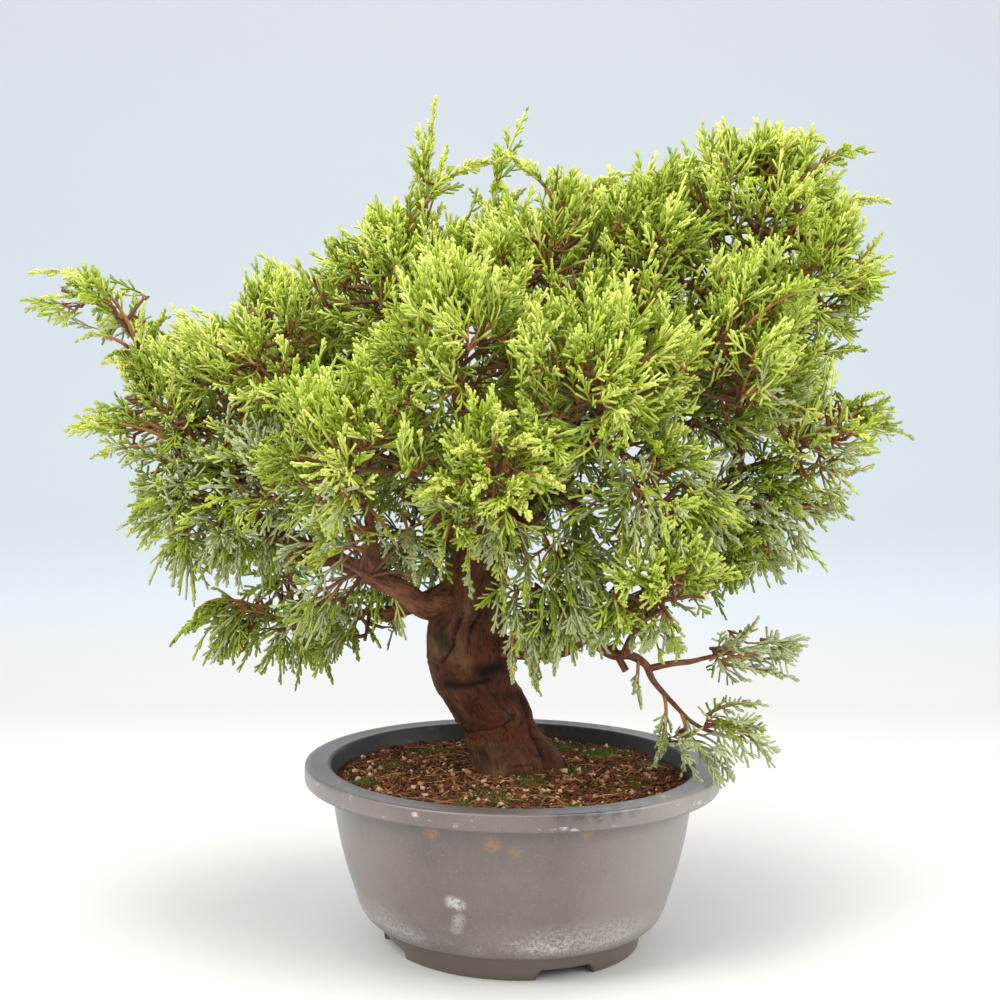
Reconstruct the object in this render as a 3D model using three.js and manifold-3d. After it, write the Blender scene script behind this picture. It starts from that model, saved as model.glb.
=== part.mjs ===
// Itoigawa Chinese juniper bonsai in an oval training pot.
// Millimetres, +Z up. The pot stands on Z = 0, the viewer looks along +Y, and the
// origin lies under the middle of the whole plant. Limbs and foliage are worked out
// in the pot's own frame (its middle at X = Y = 0) and moved together at the end.
import * as THREE from "three";
import { mergeVertices } from "three/addons/utils/BufferGeometryUtils.js";
import Module from "manifold-3d";

const wasm = await Module();
wasm.setup();

// Pot: a turned profile, stretched to an oval and turned about Z
const POT_HEIGHT = 108.5;
const RIM_RADIUS = 127; // half the rim's length
const OVAL = 0.915; // the oval's width over its length
const POT_TURN = -23; // degrees from X to the oval's long axis
const LIP_WIDTH = 16;
const LIP_DEPTH = 10.5;
const LIP_ROUND = 1.6;
const WALL = 3.2;
const WALL_TOP_RADIUS = 111;
const WALL_KNEE = [96, 29]; // radius and height where the wall turns in to its foot
const WALL_BULGE = [107.5, 62];
const WALL_FOOT = [85.5, 14.5];
const FOOT_RADIUS = 79;
const FOOT_BAND = 6.5;
const FLOOR_UNDER = 6.5;
const FLOOR_THICK = 3.5;
const FLOOR_CORNER = 6; // how far in the wall's inner face turns to the floor
const FOOT_GAP_WIDTH = 35;
const FOOT_GAP_HEIGHT = 6;
const DRAIN_RADIUS = 11;
const POT_SEGMENTS = 32;
const CURVE_STEPS = 2; // steps in each curve of the pot's profile

// Soil: fills the pot, flat round the trunk and lower at the rim
const CLEAR = 0.3; // gap between neighbouring pieces
const SOIL_TOP = 100.5;
const SOIL_FALL = 2;
const SOIL_FLAT_RADIUS = 60;

// Trunk and leader: points on its axis, each with its radius
const TRUNK = [
  [3, 13, 88, 25],
  [1, 15, 101, 25],
  [-4, 17, 115, 22],
  [-9, 18, 131, 21.5],
  [-18, 14, 147, 21.8],
  [-23, 12, 160, 24.3],
  [-25, 10, 174, 24.8],
  [-26, 8, 190, 23],
  [-23, 6, 209, 19.5],
  [-18, 4, 231, 16.5],
  [-8, 0, 255, 13.5],
  [7, -2, 270, 11.8],
  [24, -4, 287, 10.5],
  [48, -5, 309, 9],
  [76, -8, 342, 7.2],
  [105, -8, 371, 5.4],
  [128, -5, 400, 3.6],
];
const ROOT_LOBES = 3; // surface roots that swell the trunk's foot
const ROOT_SWELL = 0.13;
const ROOT_FADE = 13; // height over which the swelling dies away
const ROOT_TURN = 0.5;
const TRUNK_SIDES = 12;
const TRUNK_STEPS = 22;

// Boughs: the limb each one leaves and the place along it (0 foot, 1 tip), its radius at
// the foot, the bends of its axis on the way, and the mass of foliage that it carries
const BOUGH_TIP = 1.9;
const BOUGH_ENDS = 0.72; // how far out in its mass a bough ends
const BOUGH_SIDES = { thick: 6, thin: 5 };
const BOUGH_THICK = 5.5; // foot radius from which a bough counts as thick
const BOUGHS = [
  { name: "bough_left", from: "trunk", at: 0.51, foot: 8.6, feeds: "left_tip",
    bends: [[-48, -8, 203], [-66, -14, 215], [-86, -18, 226], [-109, -20, 236], [-130, -20, 246],
      [-157, -15, 265], [-184, -8, 296], [-205, -4, 336]] },
  { name: "bough_back_left", from: "trunk", at: 0.53, foot: 8, feeds: "back_under",
    bends: [[-53, 24, 203], [-74, 32, 196], [-95, 42, 193]] },
  { name: "bough_right", from: "trunk", at: 0.4, foot: 7.4, feeds: "right_tip",
    bends: [[22, -20, 180], [43, -32, 191], [60, -33, 199], [81, -25, 216], [102, -15, 242],
      [116, -10, 262], [132, -12, 283]] },
  { name: "bough_cascade", from: "bough_right", at: 0.25, foot: 3.6, feeds: "cascade",
    bends: [[58, -40, 181], [68, -44, 181], [77, -46, 176], [82, -47, 166]] },
  { name: "bough_cascade_side", from: "bough_cascade", at: 0.66, foot: 2, feeds: "cascade_side",
    bends: [[92, -43, 176], [103, -42, 177]] },
  { name: "bough_low_right", from: "bough_cascade", at: 0.34, foot: 3, feeds: "low_right",
    bends: [[69, -50, 193]] },
  { name: "bough_low_middle", from: "bough_right", at: 0.12, foot: 3.4, feeds: "low_middle",
    bends: [[22, -30, 191]] },
  { name: "bough_right_inner", from: "bough_right", at: 0.52, foot: 3.6, feeds: "right_inner",
    bends: [[84, -42, 236]] },
  { name: "bough_right_under", from: "bough_right", at: 0.6, foot: 3.6, feeds: "right_under",
    bends: [[112, -2, 236]] },
  { name: "bough_right_middle", from: "bough_right", at: 0.88, foot: 4.2, feeds: "right_middle",
    bends: [[134, -20, 300]] },
  { name: "bough_left_under", from: "bough_left", at: 0.42, foot: 3.8, feeds: "left_under",
    bends: [[-118, -36, 234]] },
  { name: "bough_left_middle", from: "bough_left", at: 0.7, foot: 4, feeds: "left_middle",
    bends: [[-160, -18, 295]] },
  { name: "bough_left_low_tip", from: "bough_left", at: 0.68, foot: 3, feeds: "left_low_tip",
    bends: [[-176, 7, 284]] },
  { name: "bough_left_inner", from: "bough_left", at: 0.26, foot: 3, feeds: "left_inner",
    bends: [[-72, -32, 220]] },
  { name: "bough_left_front", from: "bough_left", at: 0.3, foot: 4.4, feeds: "front_left",
    bends: [[-82, -40, 262]] },
  { name: "bough_front_middle", from: "trunk", at: 0.6, foot: 5, feeds: "front_middle",
    bends: [[-12, -38, 250]] },
  { name: "bough_front_top", from: "trunk", at: 0.66, foot: 5.4, feeds: "front_top",
    bends: [[-20, -36, 292]] },
  { name: "bough_front_right", from: "trunk", at: 0.8, foot: 5, feeds: "front_right",
    bends: [[50, -36, 312]] },
  { name: "bough_left_top", from: "trunk", at: 0.59, foot: 6.4, feeds: "left_top",
    bends: [[-38, 4, 275], [-56, 4, 325]] },
  { name: "bough_left_spire", from: "trunk", at: 0.64, foot: 5, feeds: "left_spire",
    bends: [[-26, 8, 305], [-38, 0, 362]] },
  { name: "bough_middle_spire", from: "trunk", at: 0.7, foot: 4.4, feeds: "middle_spire",
    bends: [[0, 18, 325], [-8, 20, 380]] },
  { name: "bough_top_left", from: "trunk", at: 0.78, foot: 4.8, feeds: "top_left",
    bends: [[34, -4, 340]] },
  { name: "bough_top_middle", from: "trunk", at: 0.87, foot: 4.2, feeds: "top_middle",
    bends: [[80, -16, 372]] },
  { name: "bough_right_shoulder", from: "trunk", at: 0.91, foot: 3.8, feeds: "right_shoulder",
    bends: [[140, -12, 377]] },
  { name: "bough_back_left_top", from: "trunk", at: 0.56, foot: 6.4, feeds: "back_left",
    bends: [[-40, 22, 250], [-73, 46, 272]] },
  { name: "bough_back_low", from: "trunk", at: 0.6, foot: 5.4, feeds: "back_low",
    bends: [[-12, 36, 262]] },
  { name: "bough_back_top", from: "trunk", at: 0.82, foot: 5, feeds: "back_top",
    bends: [[54, 34, 336]] },
  { name: "bough_back_right", from: "trunk", at: 0.86, foot: 4.6, feeds: "back_right",
    bends: [[100, 36, 340]] },
];

// Masses of foliage: the middle of each, how far it reaches from there along X, Y and Z,
// how much its shoots turn up (or hang, below 0), its tint, and its kind where it isn't
// dense. A dense mass has a core, an open one shows the sky, and a slim one is one spray.
const MASSES = [
  { name: "apex", at: [144, 0, 438], reach: [60, 62, 54], lift: 0.3, tint: "bright" },
  { name: "right_shoulder", at: [184, -8, 394], reach: [40, 58, 49], lift: 0.2, tint: "bright" },
  { name: "top_middle", at: [80, -16, 416], reach: [50, 60, 52], lift: 0.4, tint: "bright" },
  { name: "top_left", at: [22, -10, 412], reach: [50, 60, 52], lift: 0.4, tint: "bright" },
  { name: "left_spire", at: [-43, -8, 455], reach: [17, 20, 50], lift: 1.6, tint: "bright", kind: "slim",
    lead: [1, 0, 30] },
  { name: "middle_spire", at: [-4, 15, 455], reach: [16, 18, 48], lift: 1.6, tint: "bright", kind: "slim",
    lead: [8, 0, 28] },
  { name: "left_top", at: [-72, 0, 394], reach: [56, 60, 50], lift: 0.3, tint: "bright" },
  { name: "left_middle", at: [-148, -12, 356], reach: [62, 58, 46], lift: 0.3, tint: "bright" },
  { name: "left_tip", at: [-236, -2, 382], reach: [50, 28, 20], lift: 0, tint: "bright", kind: "slim",
    lead: [-30, 0, 10] },
  { name: "left_low_tip", at: [-206, 0, 317], reach: [52, 48, 42], lift: 0.1, tint: "bright" },
  { name: "left_under", at: [-170, -12, 262], reach: [60, 54, 48], lift: -0.2, tint: "grey" },
  { name: "left_inner", at: [-86, -60, 232], reach: [54, 46, 46], lift: -0.6, tint: "grey", kind: "open" },
  { name: "back_under", at: [-146, 52, 187], reach: [68, 50, 50], lift: -0.7, tint: "dark", kind: "open" },
  { name: "front_left", at: [-90, -80, 296], reach: [56, 58, 50], lift: 0.1, tint: "mid" },
  { name: "front_top", at: [-28, -74, 352], reach: [56, 58, 54], lift: 0.3, tint: "bright" },
  { name: "front_middle", at: [-10, -90, 282], reach: [46, 46, 46], lift: 0.1, tint: "bright" },
  { name: "front_right", at: [48, -80, 334], reach: [60, 58, 54], lift: 0.3, tint: "bright" },
  { name: "right_middle", at: [128, -40, 348], reach: [58, 58, 60], lift: 0.2, tint: "bright" },
  { name: "right_inner", at: [80, -66, 272], reach: [50, 48, 44], lift: -0.1, tint: "mid", kind: "open" },
  { name: "right_tip", at: [186, -20, 306], reach: [48, 52, 46], lift: 0.1, tint: "mid" },
  { name: "right_under", at: [148, -6, 254], reach: [48, 50, 40], lift: -0.4, tint: "grey", kind: "open" },
  { name: "low_right", at: [84, -74, 220], reach: [48, 46, 40], lift: 0.1, tint: "bright", kind: "open" },
  { name: "low_middle", at: [26, -56, 222], reach: [44, 40, 48], lift: -0.6, tint: "grey", kind: "open" },
  { name: "cascade", at: [114, -45, 130], reach: [42, 36, 28], lift: -0.1, tint: "grey", kind: "slim",
    lead: [18, -4, 4] },
  { name: "cascade_side", at: [134, -40, 184], reach: [34, 30, 26], lift: 0.3, tint: "grey", kind: "slim",
    lead: [13, 0, 2] },
  { name: "back_top", at: [42, 92, 398], reach: [98, 72, 66], lift: 0.3, tint: "dark" },
  { name: "back_right", at: [148, 90, 330], reach: [80, 70, 72], lift: 0.2, tint: "dark" },
  { name: "back_left", at: [-118, 90, 322], reach: [96, 70, 72], lift: 0.2, tint: "dark" },
  { name: "back_low", at: [2, 90, 292], reach: [72, 66, 60], lift: 0, tint: "dark" },
];
const SEED = 1253;
const TWIGS = { dense: 5, open: 6, slim: 5 }; // grown in each mass
const TWIG_TRIES = 5; // for each one that is to grow
const TWIG_REACH = 0.5; // how far out the twigs end, over the mass's own reach
const STEM_FOOT = 1.6; // radius
const STEM_END = 1.1;
const TWIG_FOOT = 0.75; // over the stem's radius there
const TWIG_END = 0.6;
const STEM_STEPS = 3;
const TWIG_STEPS = 2;
// Where shoots leave a twig
const SHOOT_PLACES = { dense: [1, 0.6], open: [1, 0.5], slim: [1, 0.4] };
const SHOOT_WIDTH = 0.66; // over the shoot's length
const SHOOT_THICK = 0.4;
const SHOOT_WIDEST = 0.48; // where along the shoot
const SHOOT_ROOT = 3; // how far back along its twig a shoot's root is sunk
const SHOOT_LONGEST = 62;
const CORE_TUFTS = 0.88; // how far a dense mass's core reaches in its tufts
const CORE_HOLLOWS = 0.6; // and between them
const CORE_UNEVEN = 0.16;
const CORE_MARGIN = 0.02; // kept free inside the mass's own space
const CELL_MARGIN = 0.035; // share of the reach kept free along the border with a neighbour
const LIMB_MARGIN = 1.2;

// Colours
const FINISHES = {
  pot: { color: 0x4c4b51, roughness: 0.6, metalness: 0 },
  soil: { color: 0x6a4c36, roughness: 0.95, metalness: 0 },
  bark: { color: 0x774e38, roughness: 0.85, metalness: 0 },
  bright: { color: 0x8fb032, roughness: 0.7, metalness: 0 },
  mid: { color: 0x7a9a3a, roughness: 0.7, metalness: 0 },
  grey: { color: 0x869c66, roughness: 0.75, metalness: 0 },
  dark: { color: 0x55782c, roughness: 0.75, metalness: 0 },
};

// Vectors and chance
const UP = new THREE.Vector3(0, 0, 1);
const vector = (list) => new THREE.Vector3(list[0], list[1], list[2]);
const along = (from, way, far) => from.clone().addScaledVector(way, far);
const clamp = THREE.MathUtils.clamp;

// A draw from 0 to 1 at each call: the remainder of the state times 48271.
function dice(seed) {
  const prime = 2147483647;
  let state = seed;
  return () => {
    state = (state * 48271) % prime;
    return state / prime;
  };
}

// Solids
function solidOf(geometry) {
  const bare = geometry.clone();
  bare.deleteAttribute("normal");
  bare.deleteAttribute("uv");
  const merged = mergeVertices(bare, 1e-4);
  const corners = [];
  for (let i = 0; i < merged.index.count; i += 3) {
    const [a, b, c] = merged.index.array.subarray(i, i + 3);
    if (a !== b && b !== c && c !== a) corners.push(a, b, c);
  }
  return new wasm.Manifold(
    new wasm.Mesh({
      numProp: 3,
      vertProperties: merged.attributes.position.array,
      triVerts: new Uint32Array(corners),
    }),
  );
}

function geometryOf(solid) {
  const mesh = solid.getMesh();
  return new THREE.BufferGeometry()
    .setAttribute("position", new THREE.BufferAttribute(mesh.vertProperties, 3))
    .setIndex(new THREE.BufferAttribute(mesh.triVerts, 1));
}

function finished(name, solid, finish) {
  const geometry = geometryOf(solid).toNonIndexed();
  geometry.computeVertexNormals();
  const mesh = new THREE.Mesh(geometry, new THREE.MeshStandardMaterial(FINISHES[finish]));
  mesh.name = name;
  return mesh;
}

// The largest of a solid's separate bodies.
function mainBody(solid) {
  return solid.decompose().reduce((best, body) => (body.volume() > best.volume() ? body : best));
}

// Pot and soil
function turned(points) {
  const geometry = new THREE.LatheGeometry(points, POT_SEGMENTS);
  return geometry.rotateX(Math.PI / 2);
}

function ovalPlace(solid) {
  return solid.scale([1, OVAL, 1]).rotate([0, 0, POT_TURN]);
}

// The pot's inner face from under the lip to the floor, `gap` inside the wall.
function innerFace(path, gap) {
  const inset = WALL + gap;
  path.lineTo(WALL_TOP_RADIUS - inset, POT_HEIGHT - LIP_DEPTH);
  path.quadraticCurveTo(
    WALL_BULGE[0] - inset, WALL_BULGE[1],
    WALL_KNEE[0] - inset, WALL_KNEE[1],
  );
  path.quadraticCurveTo(
    WALL_KNEE[0] - inset - FLOOR_CORNER, FLOOR_UNDER + FLOOR_THICK + gap + 5,
    WALL_FOOT[0] - inset - 2 * FLOOR_CORNER, FLOOR_UNDER + FLOOR_THICK + gap,
  );
  path.lineTo(0, FLOOR_UNDER + FLOOR_THICK + gap);
}

function potSolid() {
  const path = new THREE.Path();
  const underLip = POT_HEIGHT - LIP_DEPTH;
  const lipInner = RIM_RADIUS - LIP_WIDTH;
  path.moveTo(0, FLOOR_UNDER);
  path.lineTo(FOOT_RADIUS - FOOT_BAND, FLOOR_UNDER);
  path.lineTo(FOOT_RADIUS - FOOT_BAND, 0);
  path.lineTo(FOOT_RADIUS - 1, 0);
  path.lineTo(FOOT_RADIUS, WALL_FOOT[1] - 1);
  path.lineTo(WALL_FOOT[0], WALL_FOOT[1]);
  path.quadraticCurveTo(WALL_KNEE[0] - 3, WALL_FOOT[1] + 4, WALL_KNEE[0], WALL_KNEE[1]);
  path.quadraticCurveTo(WALL_BULGE[0], WALL_BULGE[1], WALL_TOP_RADIUS, underLip);
  path.lineTo(RIM_RADIUS, underLip);
  path.lineTo(RIM_RADIUS, POT_HEIGHT - LIP_ROUND);
  path.lineTo(RIM_RADIUS - LIP_ROUND, POT_HEIGHT);
  path.lineTo(lipInner, POT_HEIGHT);
  innerFace(path, 0);
  let pot = solidOf(turned(path.getPoints(CURVE_STEPS)));
  for (let k = 0; k < 4; k++) {
    const gap = new THREE.BoxGeometry(4 * FOOT_BAND, FOOT_GAP_WIDTH, 2 * FOOT_GAP_HEIGHT);
    gap.translate(FOOT_RADIUS, 0, 0).rotateZ(Math.PI / 4 + (k * Math.PI) / 2);
    pot = pot.subtract(solidOf(gap));
  }
  const drain = new THREE.CylinderGeometry(DRAIN_RADIUS, DRAIN_RADIUS, 4 * FLOOR_UNDER, 12);
  return ovalPlace(pot.subtract(solidOf(drain.rotateX(Math.PI / 2))));
}

function soilSolid() {
  const inside = new THREE.Path();
  inside.moveTo(WALL_TOP_RADIUS - WALL - CLEAR, SOIL_TOP - SOIL_FALL);
  innerFace(inside, CLEAR);
  const points = inside.getPoints(CURVE_STEPS).reverse();
  points.push(new THREE.Vector2(SOIL_FLAT_RADIUS, SOIL_TOP), new THREE.Vector2(0, SOIL_TOP));
  return ovalPlace(solidOf(turned(points)));
}

// Limbs
// A limb is a curve through its points, with a radius that runs evenly between them.
function limb(name, points, radii) {
  const curve = new THREE.CatmullRomCurve3(points, false, "catmullrom", 0.5);
  const last = radii.length - 1;
  const radiusAt = (t) => {
    const place = clamp(t, 0, 1) * last;
    const i = Math.min(Math.floor(place), last - 1);
    return THREE.MathUtils.lerp(radii[i], radii[i + 1], place - i);
  };
  return { name, curve, radiusAt };
}

// A closed tube through points: a cylinder whose rings are moved to them, each ring turned
// as little as can be from the last. A radius of 0 ends it in a point.
function tube(points, radiusAt, sides) {
  const last = points.length - 1;
  const across = new THREE.Vector3();
  const frames = points.map((at, i) => {
    const way = points[Math.min(i + 1, last)].clone().sub(points[Math.max(i - 1, 0)]).normalize();
    if (i === 0) across.crossVectors(way, Math.abs(way.x) > 0.8 ? UP : vector([1, 0, 0]));
    across.addScaledVector(way, -across.dot(way)).normalize();
    return { at, across: across.clone(), beside: way.clone().cross(across) };
  });
  const geometry = new THREE.CylinderGeometry(1, 1, 1, sides, last);
  const spot = geometry.attributes.position;
  for (let i = 0; i < spot.count; i++) {
    const ring = Math.round((0.5 - spot.getY(i)) * last);
    const frame = frames[ring];
    const radius = radiusAt(ring, Math.atan2(spot.getZ(i), spot.getX(i)));
    const place = along(frame.at, frame.across, radius * spot.getX(i));
    place.addScaledVector(frame.beside, radius * spot.getZ(i));
    spot.setXYZ(i, place.x, place.y, place.z);
  }
  return geometry;
}

// Points along a limb's axis, the last moved on by `grown`.
function axisPoints(one, steps, grown) {
  const points = one.curve.getPoints(steps);
  points[steps] = along(points[steps], one.curve.getTangent(1), grown);
  return points;
}

function limbSolid(one, grown, sides, steps) {
  return solidOf(tube(axisPoints(one, steps, grown), (i) => one.radiusAt(i / steps) + grown, sides));
}

function trunkLimb() {
  return limb("trunk", TRUNK.map(vector), TRUNK.map((row) => row[3]));
}

// The trunk, swollen by its roots and cut flat just over the soil.
function trunkSolid(trunk, grown) {
  const points = axisPoints(trunk, TRUNK_STEPS, grown);
  const swollen = (i, turn) => {
    const fade = Math.exp(-Math.max(0, points[i].z - SOIL_TOP) / ROOT_FADE);
    const lobes = 0.5 + 0.5 * Math.cos(ROOT_LOBES * (turn - ROOT_TURN));
    return trunk.radiusAt(i / TRUNK_STEPS) * (1 + ROOT_SWELL * fade * lobes) + grown;
  };
  const whole = solidOf(tube(points, swollen, TRUNK_SIDES));
  const below = new THREE.BoxGeometry(200, 200, 100);
  below.translate(0, 0, SOIL_TOP + CLEAR - 50);
  return mainBody(whole.subtract(solidOf(below)));
}

// Where a ray from `from` along `way` leaves the mass's ellipsoid.
function exitLength(mass, from, way) {
  const p = from.clone().sub(mass.middle).divide(mass.size);
  const q = way.clone().divide(mass.size);
  const pq = p.dot(q);
  const qq = q.lengthSq();
  return (-pq + Math.sqrt(Math.max(0, pq * pq - qq * (p.lengthSq() - 1)))) / qq;
}

// How far out a point is in a mass, from 0 in the middle to 1 at its reach.
function depthIn(mass, point) {
  return point.clone().sub(mass.middle).divide(mass.size).length();
}

// A bough ends a little way inside its mass, on the side that it comes from.
function boughLimb(row, parent, mass) {
  const foot = parent.curve.getPoint(row.at);
  const bends = row.bends.map(vector).filter((bend) => depthIn(mass, bend) > BOUGH_ENDS + 0.1);
  const back = [foot, ...bends].pop().clone().sub(mass.middle).normalize();
  const tip = along(mass.middle, back, BOUGH_ENDS * exitLength(mass, mass.middle, back));
  const points = [foot, ...bends, tip];
  const radii = points.map((_, i) => {
    const share = i / (points.length - 1);
    return THREE.MathUtils.lerp(row.foot, BOUGH_TIP, Math.pow(share, 0.8));
  });
  return limb(row.name, points, radii);
}

// Foliage
// True where the point is the mass's own: nearer its middle, by reach, than any other's.
function inCell(mass, masses, point) {
  const own = depthIn(mass, point) + CELL_MARGIN;
  return masses.every((other) => other === mass || own < depthIn(other, point));
}

// A limb's or stem's axis as balls that twigs and leaves keep clear of.
function balls(curve, radiusAt, spacing) {
  const count = Math.max(2, Math.ceil(curve.getLength() / spacing));
  return Array.from({ length: count + 1 }, (_, i) => ({
    at: curve.getPoint(i / count),
    radius: radiusAt(i / count),
  }));
}

function isClear(samples, obstacles) {
  return samples.every((one) =>
    obstacles.every((ball) => one.at.distanceTo(ball.at) > one.radius + ball.radius + LIMB_MARGIN),
  );
}

// The stem runs on from its limb's tip, through the mass, towards its far side.
function stemOf(mass, bearer) {
  const way = bearer.curve.getTangent(1);
  const start = bearer.curve.getPoint(1);
  const onward = mass.middle.clone().sub(start).normalize();
  const end = mass.lead
    ? mass.middle.clone().add(vector(mass.lead))
    : along(mass.middle, onward, 0.45 * exitLength(mass, mass.middle, onward));
  const bend = along(start, way, 0.45 * start.distanceTo(end));
  const curve = new THREE.QuadraticBezierCurve3(start, bend, end);
  return { curve, bearer: bearer.name, radiusAt: (t) => THREE.MathUtils.lerp(STEM_FOOT, STEM_END, t) };
}

// Directions spread evenly over a sphere, however many are taken.
function spread(k) {
  const u = (0.5 + k * 0.7548776662) % 1;
  const turn = 2 * Math.PI * ((0.5 + k * 0.569840291) % 1);
  const flat = Math.sqrt(1 - (1 - 2 * u) ** 2);
  return new THREE.Vector3(flat * Math.cos(turn), flat * Math.sin(turn), 1 - 2 * u);
}

// A twig leaves the stem short of its own target, and bends up to it or hangs down to it.
function twigOf(mass, stem, k, draw) {
  const far = TWIG_REACH * (0.85 + 0.3 * draw());
  const target = spread(k).multiply(mass.size).multiplyScalar(far).add(mass.middle);
  let nearest = 0;
  for (let i = 1; i <= 12; i++) {
    const closer = stem.curve.getPoint(i / 12).distanceTo(target);
    if (closer < stem.curve.getPoint(nearest).distanceTo(target)) nearest = i / 12;
  }
  const reach = stem.curve.getPoint(nearest).distanceTo(target);
  const place = clamp(nearest - (0.35 * reach) / stem.curve.getLength(), 0.12, 0.95);
  const foot = stem.curve.getPoint(place);
  const bow = foot.clone().lerp(target, 0.5);
  bow.addScaledVector(UP, -0.12 * mass.lift * foot.distanceTo(target));
  return {
    curve: new THREE.QuadraticBezierCurve3(foot, bow, target),
    radiusAt: (t) => THREE.MathUtils.lerp(TWIG_FOOT * stem.radiusAt(place), TWIG_END, t),
  };
}

// A shoot's way out: outwards from the mass's middle, turned by its lift and to one side.
function shootWay(mass, at, tangent, side) {
  const outward = at.clone().sub(mass.middle).divide(mass.size).normalize();
  const beside = new THREE.Vector3().crossVectors(tangent, UP).normalize();
  outward.addScaledVector(tangent, 0.6).addScaledVector(UP, mass.lift);
  return outward.addScaledVector(beside, side).normalize();
}

// A shoot from `at` on a twig to the mass's reach, its root sunk back along the twig.
function shootOf(mass, at, tangent, way, draw) {
  const length = Math.min(exitLength(mass, at, way) * (0.88 + 0.12 * draw()), SHOOT_LONGEST);
  const root = along(at, tangent, -SHOOT_ROOT);
  return { root, axis: along(at, way, length).sub(root), roll: 1.2 * (draw() - 0.5) };
}

// A spindle of eight faces, widest short of its middle.
function shootGeometry(shoot) {
  const length = shoot.axis.length();
  const way = shoot.axis.clone().normalize();
  const wide = new THREE.Vector3().crossVectors(way, Math.abs(way.z) > 0.95 ? vector([1, 0, 0]) : UP);
  wide.normalize().applyAxisAngle(way, shoot.roll);
  const thick = new THREE.Vector3().crossVectors(way, wide);
  const geometry = new THREE.OctahedronGeometry(1);
  const spot = geometry.attributes.position;
  for (let i = 0; i < spot.count; i++) {
    const end = Math.round(spot.getY(i));
    const share = end > 0 ? 1 : end < 0 ? 0 : SHOOT_WIDEST;
    const place = along(shoot.root, shoot.axis, share);
    place.addScaledVector(wide, 0.5 * SHOOT_WIDTH * length * spot.getZ(i));
    place.addScaledVector(thick, 0.5 * SHOOT_THICK * length * spot.getX(i));
    spot.setXYZ(i, place.x, place.y, place.z);
  }
  return geometry;
}

function shootSamples(shoot) {
  const half = 0.25 * (SHOOT_THICK + SHOOT_WIDTH) * shoot.axis.length();
  return [0.25, SHOOT_WIDEST, 0.7, 0.85, 1].map((share) => ({
    at: along(shoot.root, shoot.axis, share),
    radius: half * (share < SHOOT_WIDEST ? share / SHOOT_WIDEST : (1 - share) / (1 - SHOOT_WIDEST)),
  }));
}

// A twig or stem that runs on into its end shoot, which swells and closes in a point.
function tippedTube(one, steps, shoot) {
  const points = one.curve.getPoints(steps);
  const radii = points.map((_, i) => one.radiusAt(i / steps));
  points.push(along(shoot.root, shoot.axis, SHOOT_WIDEST), along(shoot.root, shoot.axis, 1));
  radii.push(0.25 * (SHOOT_THICK + SHOOT_WIDTH) * shoot.axis.length(), 0);
  return tube(points, (i) => radii[i], 3);
}

// Everything that one mass is fused from, in the order in which it grows.
function growMass(mass, masses, stem, obstacles) {
  const draw = dice(mass.seed);
  const fits = (samples) =>
    samples.every((one) => inCell(mass, masses, one.at)) && isClear(samples, obstacles);
  const onward = stem.curve.getTangent(1);
  const topShoot = shootOf(mass, stem.curve.getPoint(1), onward, onward, draw);
  const pieces = [solidOf(tippedTube(stem, STEM_STEPS, topShoot))];
  let grown = 0;
  for (let k = 0; k < TWIG_TRIES * TWIGS[mass.kind] && grown < TWIGS[mass.kind]; k++) {
    const twig = twigOf(mass, stem, k, draw);
    const turn = draw() < 0.5 ? -1.3 : 1.3;
    const [endShoot, ...sideShoots] = SHOOT_PLACES[mass.kind].map((place, i) => {
      const at = twig.curve.getPoint(place);
      const tangent = twig.curve.getTangent(place);
      return shootOf(mass, at, tangent, shootWay(mass, at, tangent, [0, turn][i]), draw);
    });
    if (!fits([...balls(twig.curve, twig.radiusAt, 5), ...shootSamples(endShoot)])) continue;
    grown += 1;
    pieces.push(solidOf(tippedTube(twig, TWIG_STEPS, endShoot)));
    const kept = sideShoots.filter((shoot) => fits(shootSamples(shoot)));
    pieces.push(...kept.map((shoot) => solidOf(shootGeometry(shoot))));
  }
  return pieces;
}

// How far out along `way`, over the mass's reach, its own space goes, `most` at the most.
function ownShare(mass, masses, way, most) {
  const at = (share) => way.clone().multiply(mass.size).multiplyScalar(share).add(mass.middle);
  let share = 0.2;
  while (share < most && inCell(mass, masses, at(share + CORE_MARGIN))) share += 0.01;
  return Math.min(share, most);
}

// The core is a ball of eighty faces with a tuft at each of twelve corners, set out evenly.
function coreOf(mass, masses, wood) {
  const draw = dice(mass.seed + 1);
  const turn = new THREE.Euler(6 * draw(), 6 * draw(), 6 * draw());
  const tufts = new THREE.IcosahedronGeometry(1, 0).attributes.position;
  const core = new THREE.IcosahedronGeometry(1, 1);
  const spot = core.attributes.position;
  const shares = new Map();
  for (let i = 0; i < spot.count; i++) {
    const corner = new THREE.Vector3().fromBufferAttribute(spot, i);
    const isTuft = Array.from({ length: tufts.count }, (_, k) => k).some(
      (k) => corner.distanceTo(new THREE.Vector3().fromBufferAttribute(tufts, k)) < 0.01,
    );
    const key = corner.toArray().map((value) => Math.round(100 * value)).join();
    const way = corner.clone().applyEuler(turn);
    if (!shares.has(key)) {
      const most = (isTuft ? CORE_TUFTS : CORE_HOLLOWS) * (1 + CORE_UNEVEN * (draw() - 0.5));
      shares.set(key, ownShare(mass, masses, way, most));
    }
    way.multiply(mass.size).multiplyScalar(shares.get(key)).add(mass.middle);
    spot.setXYZ(i, way.x, way.y, way.z);
  }
  return wood.reduce((left, one) => left.subtract(one), solidOf(core));
}

// The whole plant
const group = new THREE.Group();
group.add(finished("pot", potSolid(), "pot"), finished("soil", soilSolid(), "soil"));

const trunk = trunkLimb();
const limbs = new Map([["trunk", trunk]]);
const fat = new Map([["trunk", trunkSolid(trunk, CLEAR)]]);
group.add(finished("trunk", trunkSolid(trunk, 0), "bark"));

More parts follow.
